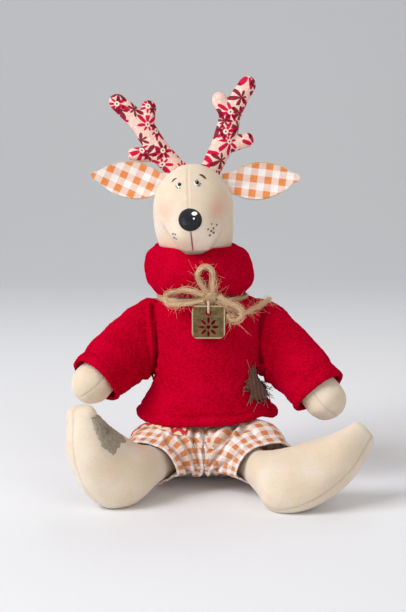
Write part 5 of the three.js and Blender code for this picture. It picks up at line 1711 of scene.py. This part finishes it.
class PLUSH_OT_legs(PlushStep):
    """Makes the stuffed legs with their feet and the felt patch on one foot"""

    bl_idname = "plush.legs"
    bl_label = "Legs and feet"

    toe_out = 6.5
    # Creases over the instep: the share along the leg and the depth
    instep_creases = ((0.45, 0.16), (0.52, 0.12))
    # The outline of the felt patch across and up, in shares of the leg's length
    patch_shares = ((-1.17, 1.1), (-0.98, 0.98), (-0.8, 0.68), (-0.93, 0.62), (-1.06, 0.72), (-1.12, 0.9))

    def make(self, context):
        for side in SIDES:
            piece, calico = self.leg(side), calico_finish(self.colours, "leg_calico_" + side)
            dress(piece, calico, "leg_" + side, ["leg_" + side])
        felt = yarn_finish("grey_felt", (0.33, 0.28, 0.21), (0.24, 0.20, 0.15), (0.42, 0.37, 0.29),
                           1.0 * MM, 0.3 * MM)
        dress(self.patch(), felt, "leg_west", ["foot_patch"])

    def rows(self):
        """Rows of a leg: the share along it, the push past its end and the shrink of its section, with
        a round cap at the thigh and at the toe."""
        cap = np.linspace(1.54, 0.06, 18)
        s = np.concatenate([np.zeros(18), np.linspace(0, 1, 110), np.ones(14)])
        far = np.linspace(0.08, 1.54, 14)
        push = np.concatenate([-THIGH_RADIUS * np.sin(cap), np.zeros(110), self.toe_out * np.sin(far)])
        shrink = np.concatenate([np.cos(cap), np.ones(110), np.cos(far) ** 0.6])
        return s[:, None], push[:, None], shrink[:, None]

    def leg(self, side):
        """A leg with its foot: the section of leg_point with soft lumps, a seam along both edges, creases
        over the instep, and the knob inside the shorts that it turns on."""
        s, push, shrink = self.rows()
        a = around(150)[None, :]
        seed = 71 if side == "west" else 77
        s, a, push, shrink = np.broadcast_arrays(s, a, push, shrink)
        flat = leg_point(side, s, a, 0.0, push, shrink)
        edge = np.abs(wrapped(a, math.pi))
        size = np.linalg.norm(flat - flat.mean(1, keepdims=True), axis=-1)
        seam = bell(edge * size, 0.55) * np.clip(size / 4, 0, 1)
        instep = smooth(1.3, 0.2, np.minimum(a, 2 * math.pi - a))
        lift = 0.35 * ripple(*np.moveaxis(flat, -1, 0), 16, seed) - 0.45 * seam
        lift = lift + 0.12 * seam * np.sin(s * 260)
        for at, deep_in in self.instep_creases:
            lift = lift - deep_in * bell(s - at - 0.02 * np.cos(2 * a), 0.012) * instep
            lift = lift + 0.6 * deep_in * bell(s - at - 0.028, 0.018) * instep
        points = flat + normals(flat) * (lift * np.clip(size / 5, 0, 1))[..., None]
        points[..., 2] = np.maximum(points[..., 2], 0.0)
        skin = cloth_mesh("leg", points, caps=(True, True), marks={"seam": 0.55 * seam, "blush": 0 * seam})
        inward = -SIGN[side] * HIP_LINE
        knob = sweep(HIPS[side] + np.linspace(0, 20.0, 8)[:, None] * inward, [8, 8, 8, 8, 8, 8, 7.6, 6], 32)
        bare = np.zeros(knob.shape[:2])
        knob = cloth_mesh("knob", knob, caps=(True, True), marks={"seam": bare, "blush": bare})
        return merged("leg_calico_" + side, [skin, knob])

    def patch(self):
        """The felt patch: its outline is found on the foot by the nearest point of a fine table."""
        s, a = np.meshgrid(np.linspace(0, 1, 300), np.linspace(-math.pi, math.pi, 400), indexing="ij")
        table = leg_point("west", s, a)
        faces = np.cross(np.gradient(table, axis=1), np.gradient(table, axis=0))
        outward = np.sign(((table - table.mean((0, 1))) * faces).sum())
        seen = faces[..., 1] * outward < 0
        spots = table[seen]
        outline = [(LEG_REACH * p, LEG_REACH * q) for p, q in self.patch_shares]
        grid, share = outlined(outline, 20, 110, 81, 0.03)
        x, z = grid[..., 0].reshape(-1, 1), grid[..., 1].reshape(-1, 1)
        near = np.argmin((x - spots[:, 0]) ** 2 + (z - spots[:, 2]) ** 2, axis=1)
        s_at, a_at = (values[seen][near].reshape(share.shape) for values in (s, a))
        rise = 0.9 * (1 - share**8) - 0.2 * share**8 + 0.15 * nap(share.shape, 83, 1)
        points = leg_point("west", s_at, a_at, rise)
        return cloth_mesh("foot_felt", points, caps=(True, False), toward=(0.3, -1, 0.2))


class PLUSH_OT_charm(PlushStep):
    """Gives the metal charm its finish"""

    bl_idname = "plush.charm"
    bl_label = "Metal charm"

    def make(self, context):
        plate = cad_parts["tag_plate"]
        plate.data.materials.clear()
        corners = [Vector(corner) for corner in plate.bound_box]
        low, high = Vector(map(min, *corners)), Vector(map(max, *corners))
        plate.data.materials.append(brass_finish(self.colours, (low + high) / 2, (high.x - low.x) / 2))


class PLUSH_OT_stage(PlushStep):
    """Makes the floor, the backdrop and the lights"""

    bl_idname = "plush.stage"
    bl_label = "Stage"

    aim = Vector((0, 0, 110 * MM))

    def make(self, context):
        """The floor rises behind the doll in one sweep: a line with a round corner, carried sideways."""
        turn = np.linspace(0, math.pi / 2, 24)
        bend, back, high, half_wide = 500, 900, 3200, 3200
        y = np.concatenate([[-3000, -600], back + bend * np.sin(turn), [back + bend]])
        z = np.concatenate([[0, 0], bend - bend * np.cos(turn), [high]])
        x = np.linspace(-half_wide, half_wide, 9)
        grid = np.stack(np.broadcast_arrays(x[None, :], y[:, None], z[:, None]), -1)
        floor = cloth_mesh("studio_floor", grid, round_way=False, toward=(0, -0.5, 1))
        finish = Finish("studio_paper", self.studio.floor, 0.95)
        near = tuple(self.studio.floor)
        far = tuple(c * k for c, k in zip(near, (0.66, 0.665, 0.67)))
        _, y, _ = finish.parts(finish.where())
        # Painted shade: the paper darkens from near the doll toward the back.
        tone = finish.blend(finish.step(y, 0.15, 1.3), near, far)
        finish.colour(finish.mottled(tone, 0.9, 2, 0.35, 0.7, 0.08, far))
        floor.data.materials.append(finish.material)
        world = bpy.data.worlds.new("studio")
        context.scene.world = world
        world.use_nodes = True
        sky = world.node_tree.nodes["Background"].inputs
        sky["Color"].default_value = (1.0, 0.90, 0.79, 1)
        sky["Strength"].default_value = 0.4
        context.scene.view_settings.view_transform = "Standard"
        for name, place, size, power, colour in (
                ("window", (-1.15, -0.75, 1.1), 1.0, self.studio.key, (0.98, 0.99, 1.0)),
                ("front fill", (0.9, -1.5, 0.9), 1.2, self.studio.key * 0.27, (1.0, 0.98, 0.95)),
                ("back light", (0.4, 1.1, 1.3), 0.9, self.studio.key * 0.2, (0.95, 0.97, 1.0))):
            light = bpy.data.lights.new(name, "AREA")
            light.shape, light.size, light.energy, light.color = "SQUARE", size, power, colour
            lamp = bpy.data.objects.new(name, light)
            lamp.location = place
            lamp.rotation_euler = (self.aim - Vector(place)).to_track_quat("-Z", "Y").to_euler()
            context.collection.objects.link(lamp)


STEPS = (PLUSH_OT_camera, PLUSH_OT_twine, PLUSH_OT_stage, PLUSH_OT_body, PLUSH_OT_head, PLUSH_OT_face,
         PLUSH_OT_ears, PLUSH_OT_antlers, PLUSH_OT_sweater, PLUSH_OT_patch, PLUSH_OT_arms, PLUSH_OT_shorts,
         PLUSH_OT_legs, PLUSH_OT_charm)


class PLUSH_PT_panel(bpy.types.Panel):
    """Lists the steps of the doll and their sizes and colours"""

    bl_idname = "PLUSH_PT_panel"
    bl_label = "Plush Reindeer"
    bl_space_type = "VIEW_3D"
    bl_region_type = "UI"
    bl_category = "Plush"

    def draw(self, context):
        for group in (context.scene.plush_sizes, context.scene.plush_colours, context.scene.plush_studio):
            box = self.layout.box()
            for name in group.__annotations__:
                box.prop(group, name)
        for step in STEPS:
            self.layout.operator(step.bl_idname)


GROUPS = {"plush_sizes": PlushSizes, "plush_colours": PlushColours, "plush_studio": StudioSettings}
CLASSES = (*GROUPS.values(), *STEPS, PLUSH_PT_panel)


def register():
    for made in CLASSES:
        bpy.utils.register_class(made)
    for name, group in GROUPS.items():
        setattr(bpy.types.Scene, name, PointerProperty(type=group))


def unregister():
    for name in GROUPS:
        delattr(bpy.types.Scene, name)
    for made in reversed(CLASSES):
        bpy.utils.unregister_class(made)


def main():
    register()
    for step in STEPS:
        area, name = step.bl_idname.split(".")
        getattr(getattr(bpy.ops, area), name)()
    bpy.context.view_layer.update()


if __name__ == "__main__":
    main()
